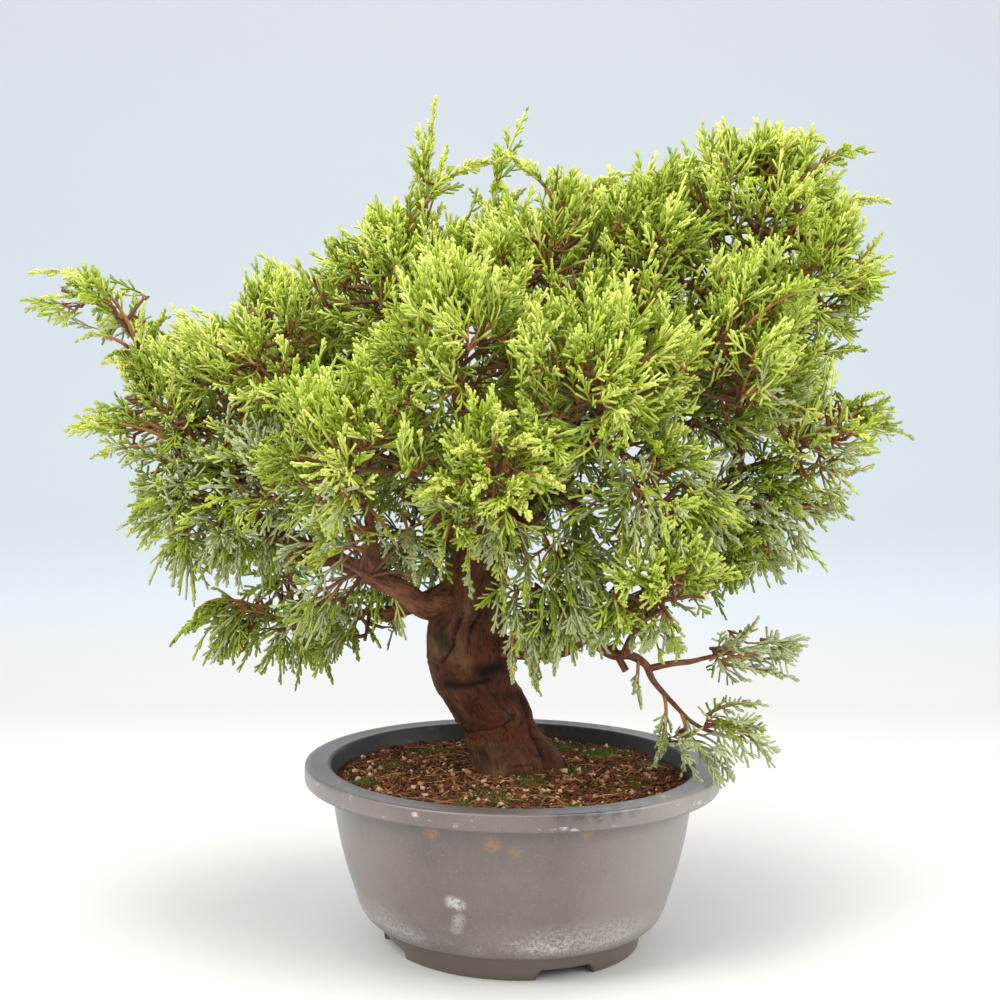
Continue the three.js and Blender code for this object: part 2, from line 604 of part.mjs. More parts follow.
const masses = MASSES.map((row, i) => ({
  kind: "dense",
  ...row,
  middle: vector(row.at),
  size: vector(row.reach),
  seed: SEED + 97 * i,
}));
const massNamed = (name) => masses.find((mass) => mass.name === name);
const stems = new Map();

for (const row of BOUGHS) {
  const bough = boughLimb(row, limbs.get(row.from), massNamed(row.feeds));
  const steps = row.bends.length + 2;
  const sides = BOUGH_SIDES[row.foot < BOUGH_THICK ? "thin" : "thick"];
  const solid = limbSolid(bough, 0, sides, steps).subtract(fat.get(row.from));
  limbs.set(row.name, bough);
  fat.set(row.name, limbSolid(bough, CLEAR, sides, steps));
  stems.set(row.feeds, stemOf(massNamed(row.feeds), bough));
  group.add(finished(row.name, mainBody(solid), "bark"));
}
stems.set("apex", stemOf(massNamed("apex"), trunk));

const limbBalls = [...limbs.values()].flatMap((one) => balls(one.curve, one.radiusAt, 3));
for (const mass of masses) {
  const otherStems = [...stems].filter(([name]) => name !== mass.name);
  const stemBalls = otherStems.flatMap(([, stem]) => balls(stem.curve, stem.radiusAt, 3));
  const pieces = growMass(mass, masses, stems.get(mass.name), [...limbBalls, ...stemBalls]);
  if (mass.kind === "dense") pieces.push(coreOf(mass, masses, [...fat.values()]));
  const bearer = fat.get(stems.get(mass.name).bearer);
  const whole = pieces.reduce((sum, piece) => sum.add(piece)).subtract(bearer);
  group.add(finished(`foliage_${mass.name}`, mainBody(whole), mass.tint));
}

// The origin goes under the middle of the whole plant.
const box = new THREE.Box3().setFromObject(group);
const middle = box.getCenter(new THREE.Vector3());
group.position.set(-middle.x, -middle.y, -box.min.z);
export default group;
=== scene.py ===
"""Juniper bonsai in its pot: bark, foliage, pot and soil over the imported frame."""

import math
from functools import lru_cache

import bpy
import numpy as np
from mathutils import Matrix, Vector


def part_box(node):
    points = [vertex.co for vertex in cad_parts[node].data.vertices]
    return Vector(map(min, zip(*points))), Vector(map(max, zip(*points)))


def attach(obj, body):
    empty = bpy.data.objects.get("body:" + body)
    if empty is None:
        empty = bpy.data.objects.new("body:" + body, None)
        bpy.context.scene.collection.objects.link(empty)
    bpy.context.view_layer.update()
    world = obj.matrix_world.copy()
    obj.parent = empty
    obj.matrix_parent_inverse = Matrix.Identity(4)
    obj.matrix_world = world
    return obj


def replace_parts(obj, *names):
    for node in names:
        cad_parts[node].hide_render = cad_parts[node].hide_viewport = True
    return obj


bl_info = {
    "name": "Juniper bonsai in its pot",
    "version": (1, 0, 0),
    "blender": (4, 5, 0),
    "location": "View3D > Sidebar > Bonsai",
    "description": "Makes a potted juniper: bark, boughs, scale foliage, plastic pot and soil",
    "category": "Add Mesh",
}

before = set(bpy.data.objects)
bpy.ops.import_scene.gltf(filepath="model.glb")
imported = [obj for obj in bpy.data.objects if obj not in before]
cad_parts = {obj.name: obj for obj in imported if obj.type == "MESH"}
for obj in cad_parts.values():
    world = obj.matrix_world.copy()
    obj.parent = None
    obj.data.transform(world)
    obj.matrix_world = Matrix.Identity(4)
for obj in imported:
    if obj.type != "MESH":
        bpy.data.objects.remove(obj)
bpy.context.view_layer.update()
MM = 0.001
UP = np.array([0.0, 0.0, 1.0])
GOLDEN = math.pi * (3 - math.sqrt(5))

# The pot's middle is the zero point of the tables below, which are in millimetres.
POT_MIDDLE = np.array([*np.mean(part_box("pot"), axis=0)[:2], 0.0])

# Pot
POT_HEIGHT = 108.5
RIM_RADIUS = 127.0
OVAL = 0.915
POT_TURN = math.radians(-23)
LIP_WIDTH = 16.0
LIP_DEPTH = 10.5
WALL = 3.2
WALL_TOP_RADIUS = 111.0
FOOT_RADIUS = 79.0
FOOT_BAND = 6.5
FOOT_GAP_WIDTH = 35.0
FOOT_GAP_HEIGHT = 6.0
FLOOR_UNDER = 6.5
FLOOR_TOP = 10.0
DRAIN_RADIUS = 11.0

# Two points of the outer wall, as radius and height, and the floor's radius inside
WALL_LOW = (96.0, 29.0)
WALL_BEND = (107.5, 62.0)
FLOOR_EDGE = 75.5

# Heights on the pot where a finish starts and where it is full: limescale, the clean wall over the
# dirty foot, the band of painted shadow under the lip, and the lip's top
LIME_RISE = (42 * MM, 18 * MM)
CLEAN_WALL = (12.5 * MM, 24 * MM)
LIP_SHADOW_BAND = (86 * MM, 96.5 * MM)
LIP_TOP = (98.5 * MM, 99.5 * MM)

# Paler sides, a painted sheen: X where they start and where they are full, and how pale they get
PAINTED_SIDE_SHEEN = [(30 * MM, 90 * MM, 0.22), (-50 * MM, -95 * MM, 0.13)]

# Smudges on the front of the pot by tone: X, Z, radius and strength
SMUDGES = {
    "rust": [(-44, 91, 5, 1.0), (-11, 88, 6, 1.0), (41, 92, 4.5, 0.9), (2, 83, 4, 0.5)],
    "dark": [(26, 107, 5, 0.7), (36, 107, 5.5, 0.8), (46, 107, 5.5, 0.8), (56, 107, 5, 0.7),
             (66, 107.5, 5, 0.5)],
    "pale": [(-33, 51, 5, 0.7), (-29, 50, 5, 0.6), (-29, 40, 5.5, 0.4), (-31, 34, 4.5, 0.3)],
}

# Where the limescale in front is thickest: X, Z and radius
LIME = [(46, 27, 40), (-84, 32, 26), (14, 18, 24), (-60, 18, 16), (-20, 14, 12)]

# Soil
SOIL_TOP = 100.5
SOIL_FALL = 2.0
SOIL_FLAT_RADIUS = 60.0
SOIL_RADIUS = 107.6
SOIL_UNDER = 70.0

# The mound under the trunk: its middle, its spread along X and Y, and its height
MOUND = (2, 14)
MOUND_SPREAD = (40, 34)
MOUND_HEIGHT = 2.2

# How near to its middle nothing is strewn
TRUNK_CLEAR = 27.0

# Materials of what is strewn on the soil, after the grit's own, and the share of each material,
# by its number, in the grit, the litter, the fibres and the moss
STREWN = {
    "grit_pink": (0.5, 0.25, 0.12), "grit_dark": (0.06, 0.025, 0.011),
    "litter_brown": (0.22, 0.08, 0.026), "litter_pale": (0.4, 0.2, 0.08),
}
GRIT_MIX = {0: 0.24, 1: 0.32, 2: 0.44}
LITTER_MIX = {2: 0.48, 3: 0.46, 4: 0.06}
FIBRE_MIX = {1: 0.2, 3: 0.62, 4: 0.18}
MOSS_MIX = {5: 0.6, 6: 0.4}

# Moss: middle, half width and share of the tufts of each patch
MOSS_PATCHES = [
    ([58, 52], 14, 0.3), ([34, 66], 12, 0.16), ([-74, 20], 10, 0.06), ([-88, -14], 7, 0.04),
    ([72, -22], 8, 0.04), ([-30, -76], 9, 0.05), ([34, -72], 8, 0.05), ([12, -22], 10, 0.05),
    ([-50, 56], 13, 0.08), ([-10, -52], 16, 0.05), ([88, 22], 7, 0.05), ([38, 4], 8, 0.04),
]

# Trunk and leader: points on the axis, each with its radius
TRUNK = np.array([
    [3, 13, 88, 25], [1, 15, 101, 25], [-4, 17, 115, 22], [-9, 18, 131, 21.5],
    [-18, 14, 147, 21.8], [-23, 12, 160, 24.3], [-25, 10, 174, 24.8], [-26, 8, 190, 23],
    [-23, 6, 209, 19.5], [-18, 4, 231, 16.5], [-8, 0, 255, 13.5], [7, -2, 270, 11.8],
    [24, -4, 287, 10.5], [48, -5, 309, 9], [76, -8, 342, 7.2], [105, -8, 371, 5.4],
    [128, -5, 400, 3.6],
])
ROOT_SWELL = 0.13
ROOT_FADE = 13.0

# Bark: plates round a limb for each millimetre of its radius, the radii between which young bark
# turns old, and the heights between which the trunk's moss thins out
BARK_CELLS = 0.34
YOUNG_RADII = (4, 13)
MOSSY_BELOW = (190, 240)

# Marks on the trunk's bark: kind, height and degrees round it (0 behind, 90 at the left and 180
# in front) of both ends, half width, and depth, which is less than 0 where it stands out; then
# how dark each kind is painted, as painted shade in the cracks and hollows
TRUNK_MARKS = [
    ("crack", 202, 170, 184, 158, 0.9, 2.4), ("crack", 184, 158, 174, 138, 0.8, 1.9),
    ("crack", 204, 200, 195, 186, 0.7, 1.8), ("crack", 195, 186, 186, 182, 0.7, 1.3),
    ("crack", 190, 60, 160, 75, 0.9, 1.8),
    ("hollow", 166, 200, 166, 228, 6.5, 4.4), ("hollow", 162, 138, 160, 205, 2.6, 1.3),
    ("swelling", 182, 205, 186, 225, 12, -2.4), ("swelling", 186, 110, 176, 112, 11, -1.8),
    ("swelling", 130, 190, 112, 196, 9, -1.0), ("torn", 128, 224, 122, 226, 2.4, 0.6),
    ("torn", 140, 20, 110, 350, 8, 0.9), ("crack", 140, 246, 101, 232, 0.9, 2.2),
    ("swelling", 140, 254, 104, 244, 2.8, -1.9),
]
PAINTED_SHADE_BY_KIND = {"torn": 0.0, "swelling": 0.0, "crack": 0.95, "hollow": 1.0}

# A bough's radius at its tip, how far out in its mass it ends, as a share of the reach, and how
# much thinner than its solid its bark is at the tip
BOUGH_TIP = 1.9
BOUGH_ENDS = 0.72
BOUGH_THINNER = 0.35

# A bough thicker than this at its foot gets a finer mesh
THICK_BOUGH = 5.5

# Boughs: name, limb it leaves, place along it, radius at its foot, bends
BOUGHS = [
    ("bough_left", "trunk", 0.51, 8.6,
     [[-48, -8, 203], [-66, -14, 215], [-86, -18, 226], [-109, -20, 236], [-130, -20, 246],
      [-157, -15, 265], [-184, -8, 296], [-205, -4, 336]]),
    ("bough_back_left", "trunk", 0.53, 8.0, [[-53, 24, 203], [-74, 32, 196], [-95, 42, 193]]),
    ("bough_right", "trunk", 0.4, 7.4,
     [[22, -20, 180], [43, -32, 191], [60, -33, 199], [81, -25, 216], [102, -15, 242],
      [116, -10, 262], [132, -12, 283]]),
    ("bough_cascade", "bough_right", 0.25, 3.6,
     [[58, -40, 181], [68, -44, 181], [77, -46, 176], [82, -47, 166]]),
    ("bough_cascade_side", "bough_cascade", 0.66, 2.0, [[92, -43, 176], [103, -42, 177]]),
    ("bough_low_right", "bough_cascade", 0.34, 3.0, [[69, -50, 193]]),
    ("bough_low_middle", "bough_right", 0.12, 3.4, [[22, -30, 191]]),
    ("bough_right_inner", "bough_right", 0.52, 3.6, [[84, -42, 236]]),
    ("bough_right_under", "bough_right", 0.6, 3.6, [[112, -2, 236]]),
    ("bough_right_middle", "bough_right", 0.88, 4.2, [[134, -20, 300]]),
    ("bough_left_under", "bough_left", 0.42, 3.8, [[-118, -36, 234]]),
    ("bough_left_middle", "bough_left", 0.7, 4.0, [[-160, -18, 295]]),
    ("bough_left_low_tip", "bough_left", 0.68, 3.0, [[-176, 7, 284]]),
    ("bough_left_inner", "bough_left", 0.26, 3.0, [[-72, -32, 220]]),
    ("bough_left_front", "bough_left", 0.3, 4.4, [[-82, -40, 262]]),
    ("bough_front_middle", "trunk", 0.6, 5.0, [[-12, -38, 250]]),
    ("bough_front_top", "trunk", 0.66, 5.4, [[-20, -36, 292]]),
    ("bough_front_right", "trunk", 0.8, 5.0, [[50, -36, 312]]),
    ("bough_left_top", "trunk", 0.59, 6.4, [[-38, 4, 275], [-56, 4, 325]]),
    ("bough_left_spire", "trunk", 0.64, 5.0, [[-26, 8, 305], [-38, 0, 362]]),
    ("bough_middle_spire", "trunk", 0.7, 4.4, [[0, 18, 325], [-8, 20, 380]]),
    ("bough_top_left", "trunk", 0.78, 4.8, [[34, -4, 340]]),
    ("bough_top_middle", "trunk", 0.87, 4.2, [[80, -16, 372]]),
    ("bough_right_shoulder", "trunk", 0.91, 3.8, [[140, -12, 377]]),
    ("bough_back_left_top", "trunk", 0.56, 6.4, [[-40, 22, 250], [-73, 46, 272]]),
    ("bough_back_low", "trunk", 0.6, 5.4, [[-12, 36, 262]]),
    ("bough_back_top", "trunk", 0.82, 5.0, [[54, 34, 336]]),
    ("bough_back_right", "trunk", 0.86, 4.6, [[100, 36, 340]]),
]

# The masses that boughs feed where they aren't named for them
FEEDS = {
    "left": "left_tip", "back_left": "back_under", "right": "right_tip", "left_front": "front_left",
    "back_left_top": "back_left",
}

# Pruned stubs: foot, tip and radius
STUBS = [
    ([-58, 26, 201], [-78, 30, 193], 5.0), ([103, -15, 240], [114, -19, 224], 2.7),
    ([8, -8, 252], [18, -22, 260], 2.6), ([58, -38, 186], [66, -44, 172], 2.2),
]

# Masses: name, middle, reach along X, Y and Z, lift of the shoots and tint, and where they aren't
# the usual ones, the kind and where the stem leads from the middle
# The grey tints of the low masses and the dark ones of the masses at the back are partly painted shade
MASSES = [
    ("apex", [144, 0, 438], [60, 62, 54], 0.3, "fresh"),
    ("right_shoulder", [184, -8, 394], [40, 58, 49], 0.2, "fresh"),
    ("top_middle", [80, -16, 416], [50, 60, 52], 0.4, "fresh"),
    ("top_left", [22, -10, 412], [50, 60, 52], 0.4, "bright"),
    ("left_spire", [-43, -8, 455], [17, 20, 50], 1.6, "mid", "slim", [1, 0, 30]),
    ("middle_spire", [-4, 15, 455], [16, 18, 48], 1.6, "mid", "slim", [8, 0, 28]),
    ("left_top", [-72, 0, 394], [56, 60, 50], 0.3, "bright"),
    ("left_middle", [-148, -12, 356], [62, 58, 46], 0.3, "sunny"),
    ("left_tip", [-236, -2, 382], [50, 28, 20], 0.0, "bright", "tip", [-30, 0, 10]),
    ("left_low_tip", [-206, 0, 317], [52, 48, 42], 0.1, "bright"),
    ("left_under", [-170, -12, 262], [60, 54, 48], -0.2, "grey"),
    ("left_inner", [-86, -60, 232], [54, 46, 46], -0.6, "grey", "open"),
    ("back_under", [-146, 52, 187], [68, 50, 50], -0.9, "dark", "thin"),
    ("front_left", [-90, -80, 296], [56, 58, 50], 0.1, "bright"),
    ("front_top", [-28, -74, 352], [56, 58, 54], 0.3, "bright"),
    ("front_middle", [-10, -90, 282], [46, 46, 46], 0.1, "sunny"),
    ("front_right", [48, -80, 334], [60, 58, 54], 0.3, "bright"),
    ("right_middle", [128, -40, 348], [58, 58, 60], 0.2, "bright"),
    ("right_inner", [80, -66, 272], [50, 48, 44], -0.1, "mid", "airy"),
    ("right_tip", [186, -20, 306], [48, 52, 46], 0.1, "mid", "airy"),
    ("right_under", [148, -6, 254], [48, 50, 40], -0.4, "grey", "open"),
    ("low_right", [84, -74, 220], [48, 46, 40], 0.1, "bright", "open"),
    ("low_middle", [26, -56, 222], [44, 40, 48], -0.6, "grey", "open"),
    ("cascade", [114, -45, 130], [42, 36, 28], -0.1, "pale", "sparse", [18, -4, 4]),
    ("cascade_side", [134, -40, 184], [34, 30, 26], 0.3, "pale", "sparse", [13, 0, 2]),
    ("back_top", [42, 92, 398], [98, 72, 66], 0.3, "dark"),
    ("back_right", [148, 90, 330], [80, 70, 72], 0.2, "dark"),
    ("back_left", [-118, 90, 322], [96, 70, 72], 0.2, "dark"),
    ("back_low", [2, 90, 292], [72, 66, 60], 0.0, "dark"),
]

# The draws' first number, and where the numbers of the bridges and the inner bushes start
SEED = 1253
BRIDGE_NUMBER = 40
INNER_NUMBER = 90

# How far out the twigs end, as a share of the reach, and the stems' radii at both ends
TWIG_REACH = 0.42
STEM_FOOT = 1.3
STEM_END = 1.1

# How much of a slim mass's stem is drawn, as its leaders go on from there
SLIM_STEM = 0.15

# The size of a mass that bears the usual count of twigs, the Y from which masses are at the back,
# and how the count grows with the size in front and at the back
USUAL_SIZE = 52.0
BACK_FROM = 80.0
FRONT_GROWTH = 1.9
BACK_GROWTH = 1.5

# Where a twiglet turns from brown to green, and how wide its tuft spreads
GREEN_FROM = 0.5
TUFT_SPREAD = 1.75

# Twigs in a mass, branchlets on a twig, twiglets on a branchlet and sprays on a twiglet, by the
# mass's kind, then fingers on a spray and rings of a finger
GROWTH = {
    "dense": (13, 2, 4, 3), "open": (13, 2, 3, 3), "airy": (11, 2, 4, 2), "slim": (1, 1, 2, 6),
    "sparse": (3, 2, 3, 3), "tip": (5, 2, 2, 3), "thin": (11, 2, 3, 3), "bridge": (6, 2, 3, 3),
    "inner": (5, 2, 2, 3),
}
FINGERS = 5
FINGER_RINGS = 3

# Draws that the solids give to the shoots of each twig
SHOOT_DRAWS = 5

# How deep inside another mass a twiglet is left out, as a share of that one's reach
HIDDEN = {"bridge": 0.8, "inner": 0.3}
USUALLY_HIDDEN = 0.6

# Shares of deep, middle, bright, tip and grey sprays by tint, and the colours of the twiglets. The
# deep and grey sprays, and the dark and grey tints, stand partly for painted shade inside and under the
# crown
TINTS = {
    "bright": [0.08, 0.26, 0.42, 0.22, 0.02], "mid": [0.03, 0.22, 0.38, 0.15, 0.22],
    "grey": [0.15, 0.24, 0.1, 0.0, 0.51], "dark": [0.6, 0.28, 0.03, 0.0, 0.09],
    "pale": [0.14, 0.0, 0.0, 0.0, 0.86], "sunny": [0.04, 0.16, 0.42, 0.36, 0.02],
    "fresh": [0.14, 0.38, 0.34, 0.13, 0.01],
}
TWIGLET_TINTS = {"grey": [1, 4, 4], "pale": [4, 4, 0], "dark": [0, 0, 1]}
USUAL_TWIGLET_TINTS = [1, 2, 3]

# Small bushes of shoots on the limbs inside the crown: limb and places along it
INNER_REACH = 32.0
INNER = {
    "trunk": (0.6, 0.66, 0.72, 0.78, 0.84, 0.9), "bough_left": (0.34, 0.48, 0.6, 0.74, 0.86),
    "bough_right": (0.5, 0.62, 0.74, 0.86), "bough_back_left": (0.6, 0.85),
    "bough_back_low": (0.4, 0.8), "bough_right_inner": (0.7,), "bough_right_middle": (0.4,),
    "bough_back_left_top": (0.25, 0.5, 0.75), "bough_left_top": (0.4, 0.7),
    "bough_front_right": (0.35, 0.7), "bough_back_right": (0.5,), "bough_back_top": (0.5,),
    "bough_front_top": (0.6,),
}

# A bridge fills the crease between two masses whose middles lie this far apart. Its own middle
# lies this far out from the line between them, and it reaches this far, all times their size
BRIDGED = (1.1, 2.15)
BRIDGE_OUT = 0.16
BRIDGE_REACH = 0.64

# The whole crown, for the way that its shoots look, how far out its inside goes, and the share of
# twiglets left out there
CROWN_MIDDLE = np.array([-15.0, 5.0, 285.0])
CROWN_REACH = np.array([235.0, 130.0, 190.0])
CROWN_INSIDE = 0.55
THINNED = 0.2

# How far a spray may stick out of its mass's reach, and the shortest one that is kept
PAST_REACH = 3.0
SHORTEST = 4.0

# How much of each part of the way out a twiglet takes: less towards the front and the back, so
# that it shows its side there
SIDEWAYS = np.array([1.0, 0.55, 1.0])

# Openings through the crown as seen from the camera's place, by the share of the shoots that is
# left out: middle X and Z, half width and half height at the plane of the trunk
EYE = np.array([-6.5, -908.7, 337.6])
OPENINGS = {
    1.0: [
        (-50, 168, 24, 24), (108, 194, 11, 13), (42, 158, 34, 20), (60, 152, 26, 26),
        (150, 200, 40, 12), (-249, 338, 17, 17), (220, 338, 26, 13), (217, 424, 13, 16),
        (222, 277, 18, 14), (-182, 393, 24, 18), (-107, 437, 22, 16), (-75, 451, 22, 13),
        (-180, 162, 27, 12), (-144, 150, 26, 12), (-87, 170, 21, 14), (166, 130, 12, 18),
        (158, 496, 46, 12), (178, 214, 32, 12), (-240, 275, 15, 28), (-241, 335, 12, 14),
        (-222, 405, 14, 8), (170, 190, 14, 9), (206, 337, 18, 11), (-150, 418, 16, 10),
        (30, 472, 12, 12), (232, 398, 12, 16)],
    0.9: [
        (-122, 414, 16, 12), (73, 466, 26, 9), (14, 452, 12, 16), (-27, 444, 9, 12),
        (-272, 391, 16, 7)],
    0.8: [(146, 211, 12, 9)],
    0.6: [(176, 248, 14, 9)],
    0.3: [(17, 240, 14, 26)],
}

# Openings only in front of some Y, so that the trunk and a bough show: the same four numbers,
# then the share left out and that Y
FRONT_OPENINGS = [
    (-127, 241, 13, 10, 0.6, -12), (-100, 224, 18, 11, 0.85, -12), (-78, 213, 18, 11, 0.95, -8),
    (-54, 204, 18, 12, 0.97, 20), (-44, 214, 10, 12, 0.8, -8), (-84, 200, 26, 13, 0.9, -8),
    (-34, 192, 16, 22, 0.97, -8), (-24, 171, 26, 14, 0.98, -8),
]

# A leader's sprays and its axis over the usual, and the length below which it bears shorter ones
LEADER_SPRAY = 0.8
LEADER_THICK = 1.25
LEADER_LENGTH = 58.0

# Long shoots that stand out of a mass: foot, the point that they bend towards, tip, number of
# sprays, and the share of their length that is brown
LEADERS = {
    "left_tip": [
        ([-221, -4, 358], [-236, -4, 410], [-283, -2, 402], 16, 0.35),
        ([-230, -4, 376], [-246, -10, 392], [-276, -8, 387], 11, 0.3),
        ([-233, 0, 382], [-238, 4, 390], [-228, 6, 392], 8, 0.2),
        ([-226, -4, 358], [-240, -12, 370], [-256, -10, 362], 10, 0.3),
        ([-240, -2, 391], [-252, 2, 398], [-266, 4, 394], 9, 0.2),
        ([-220, -2, 352], [-217, 0, 370], [-204, 0, 376], 12, 0.2),
        ([-215, 0, 346], [-207, 2, 360], [-195, 2, 368], 12, 0.2),
        ([-212, -2, 348], [-214, -4, 366], [-205, -2, 380], 12, 0.2),
        ([-214, -4, 350], [-222, -12, 366], [-214, -14, 384], 12, 0.2),
        ([-218, -2, 356], [-226, 0, 374], [-224, 4, 390], 12, 0.2),
        ([-216, -4, 352], [-230, -10, 360], [-238, -12, 352], 10, 0.2)],
    "left_low_tip": [
        ([-200, -6, 302], [-231, -8, 320], [-262, -6, 310], 16, 0.35),
        ([-206, -4, 309], [-228, 2, 320], [-240, 4, 318], 9, 0.3),
        ([-206, -12, 300], [-226, -18, 302], [-246, -16, 294], 11, 0.3)],
    "left_middle": [([-205, -8, 342], [-226, -10, 352], [-241, -8, 349], 10, 0.3)],
    "left_spire": [
        ([-48, -4, 396], [-53, -8, 448], [-44, -8, 502], 22, 0.3),
        ([-49, -4, 428], [-55, -6, 446], [-54, -6, 468], 11, 0.2),
        ([-49, -6, 434], [-43, -12, 452], [-38, -12, 474], 11, 0.2)],
    "left_top": [
        ([-62, -10, 422], [-42, -12, 468], [-3, -6, 466], 20, 0.4),
        ([-58, -10.3, 430.5], [-61, -14, 442], [-57, -16, 453], 11, 0.1),
        ([-53.2, -10.5, 438.5], [-46, -14, 447], [-36, -12, 451], 11, 0.1)],
    "middle_spire": [
        ([-3, 17, 404], [-14, 14, 444], [-7, 14, 472], 16, 0.5),
        ([-8, 14, 456], [-3, 14, 476], [9, 14, 499], 7, 0.0),
        ([-9, 15, 436], [-18, 10, 448], [-24, 8, 452], 8, 0.2),
        ([-9, 15, 436], [0, 10, 446], [8, 6, 452], 8, 0.2)],
    "top_left": [
        ([32, -14, 436], [14, -14, 460], [-3, -10, 470], 12, 0.5),
        ([36, -20, 432], [48, -24, 457], [68, -22, 457], 13, 0.5)],
    "top_middle": [
        ([74, -14, 442], [86, -16, 467], [110, -12, 466], 9, 0.25),
        ([80, -12, 450], [80, -12, 460], [84, -10, 469], 5, 0.1)],
    "apex": [
        ([148, -6, 458], [166, -8, 484], [182, -8, 478], 11, 0.3),
        ([166, -8, 452], [188, -10, 477], [209, -8, 471], 13, 0.35)],
    "right_shoulder": [
        ([188, -10, 436], [204, -12, 450], [221, -10, 442], 12, 0.3),
        ([198, -8, 404], [212, -8, 414], [217, -8, 424], 8, 0.3),
        ([202, -12, 392], [214, -12, 402], [225, -10, 402], 9, 0.3)],
    "right_middle": [([128, -60, 366], [154, -72, 396], [187, -60, 388], 15, 0.45)],
    "right_tip": [
        ([150, -22, 334], [176, -22, 361], [206, -20, 356], 15, 0.4),
        ([186, -12, 302], [210, -12, 322], [237, -10, 305], 15, 0.3),
        ([184, -6, 306], [201, -4, 327], [220, -2, 331], 11, 0.3),
        ([182, -16, 287], [198, -20, 282], [212, -18, 289], 10, 0.3)],
    "right_under": [([170, -10, 264], [188, -12, 266], [202, -12, 258], 10, 0.3)],
    "back_under": [
        ([-100, 46, 196], [-140, 40, 176], [-186, 44, 208], 12, 0.9),
        ([-126, 30, 226], [-150, 28, 218], [-172, 30, 246], 6, 0.9),
        ([-122, 44, 196], [-122, 40, 172], [-112, 38, 150], 12, 0.6),
        ([-96, 44, 192], [-88, 38, 182], [-82, 38, 172], 12, 0.4),
        ([-98, 42, 194], [-84, 36, 196], [-72, 34, 186], 12, 0.4),
        ([-106, 44, 198], [-98, 38, 184], [-96, 38, 164], 13, 0.4),
        ([-110, 40, 204], [-94, 34, 210], [-76, 32, 204], 12, 0.4),
        ([-150, 44, 190], [-186, 42, 216], [-205, 40, 180], 14, 0.3),
        ([-160, 44, 196], [-196, 42, 210], [-200, 40, 186], 12, 0.2),
        ([-150, 44, 190], [-182, 42, 204], [-188, 38, 176], 12, 0.3),
        ([-150, 44, 196], [-190, 42, 202], [-212, 40, 176], 13, 0.2)],
    "front_middle": [
        ([-10, -98, 288], [-16, -122, 306], [-30, -132, 302], 14, 0.1),
        ([-6, -98, 290], [0, -124, 312], [12, -134, 308], 14, 0.1),
        ([-10, -100, 286], [-14, -126, 292], [-20, -136, 280], 13, 0.1),
        ([-2, -98, 286], [14, -124, 294], [26, -132, 284], 13, 0.1),
        ([-20, -98, 284], [-34, -122, 288], [-46, -128, 280], 13, 0.1),
        ([-12, -100, 294], [-8, -128, 316], [-4, -134, 320], 13, 0.1),
        ([-4, -100, 278], [4, -126, 280], [8, -134, 268], 13, 0.1),
        ([-22, -58, 262], [-26, -68, 240], [-23, -60, 218], 13, 0.2),
        ([-8, -60, 258], [-6, -70, 234], [-4, -62, 210], 13, 0.2),
        ([6, -56, 256], [10, -66, 232], [9, -58, 206], 13, 0.2),
        ([-34, -54, 262], [-40, -62, 244], [-40, -56, 228], 11, 0.2),
        ([18, -56, 252], [26, -64, 234], [26, -58, 214], 12, 0.2)],
    "left_inner": [
        ([-83, -46, 268], [-100, -64, 264], [-113, -60, 240], 9, 0.0),
        ([-83, -46, 268], [-74, -66, 264], [-64, -62, 246], 9, 0.0),
        ([-62, -44, 262], [-56, -60, 252], [-54, -58, 226], 9, 0.0)],
    "low_middle": [
        ([12, -50, 206], [8, -58, 184], [16, -52, 161], 13, 0.2),
        ([4, -50, 204], [-2, -58, 186], [1, -54, 168], 11, 0.2),
        ([22, -54, 204], [26, -62, 188], [24, -56, 172], 10, 0.2)],
    "cascade_side": [
        ([114, -42, 178], [132, -42, 186], [142, -42, 202], 14, 0.1),
        ([120, -42, 177], [146, -42, 185], [160, -42, 181], 13, 0.3),
        ([120, -42, 176], [146, -42, 172], [164, -42, 167], 13, 0.3)],
    "cascade": [
        ([73, -46, 179], [71, -52, 166], [74, -52, 153], 9, 0.2),
        ([112, -46, 146], [126, -50, 158], [146, -48, 153], 10, 0.2),
        ([87.5, -46.5, 159.8], [92, -50, 140], [82, -48, 118], 13, 0.2),
        ([97.5, -46, 148.6], [104, -50, 134], [98, -50, 114], 11, 0.2)],
}

# The camera's place is EYE, and this is how many degrees it looks down
LOOK_DOWN = 4.43

# Soft lights: name, place in metres, size and share of the key light's power
LIGHTS = [
    ("key", (-1.3, -0.9, 1.6), 0.9, 1.0), ("fill", (1.5, -0.7, 1.2), 1.2, 0.7),
    ("top", (0.1, -0.2, 2.0), 1.0, 0.9),
]
LIGHT_AIM = np.array([0, 0, 0.28])
LIGHT_COLOR = (1.0, 0.985, 0.96)

# Backdrop: Y in metres over which its colours run, their places there from 0 to 1, tones and
# brightness, and Z over which the top's colour comes in
BACKDROP_Y = (0.0, 4.0)
BACKDROP = [
    (0.06, "floor", 1.0), (0.16, "floor", 0.82), (0.35, "wall", 0.84), (0.48, "wall", 0.91),
    (0.75, "wall", 1.0),
]
BACKDROP_Z = (0.5, 1.8)

# Masses joined into one piece
CROWN = {
    "crown_top": ["apex", "right_shoulder", "top_middle", "top_left"],
    "crown_left": ["left_top", "left_middle", "left_tip", "left_low_tip", "left_spire"],
    "crown_low_left": ["left_under", "left_inner", "back_under", "middle_spire"],
    "crown_front": ["front_left", "front_top", "front_middle", "front_right"],
    "crown_right": ["right_middle", "right_inner", "right_tip", "right_under"],
    "crown_low_right": ["low_right", "low_middle", "cascade", "cascade_side"],
    "crown_back_left": ["back_left", "back_low"],
    "crown_back_right": ["back_top", "back_right"],
}


# Numbers and curves

def dice(seed):
    """Draws from 0 to 1: at each call the state becomes its remainder after times 48271."""
    prime = 2147483647
    state = seed
    while True:
        state = (state * 48271) % prime
        yield state / prime


def unit(vectors):
    """Each vector divided by its length."""
    return vectors / np.maximum(np.linalg.norm(vectors, axis=-1, keepdims=True), 1e-9)


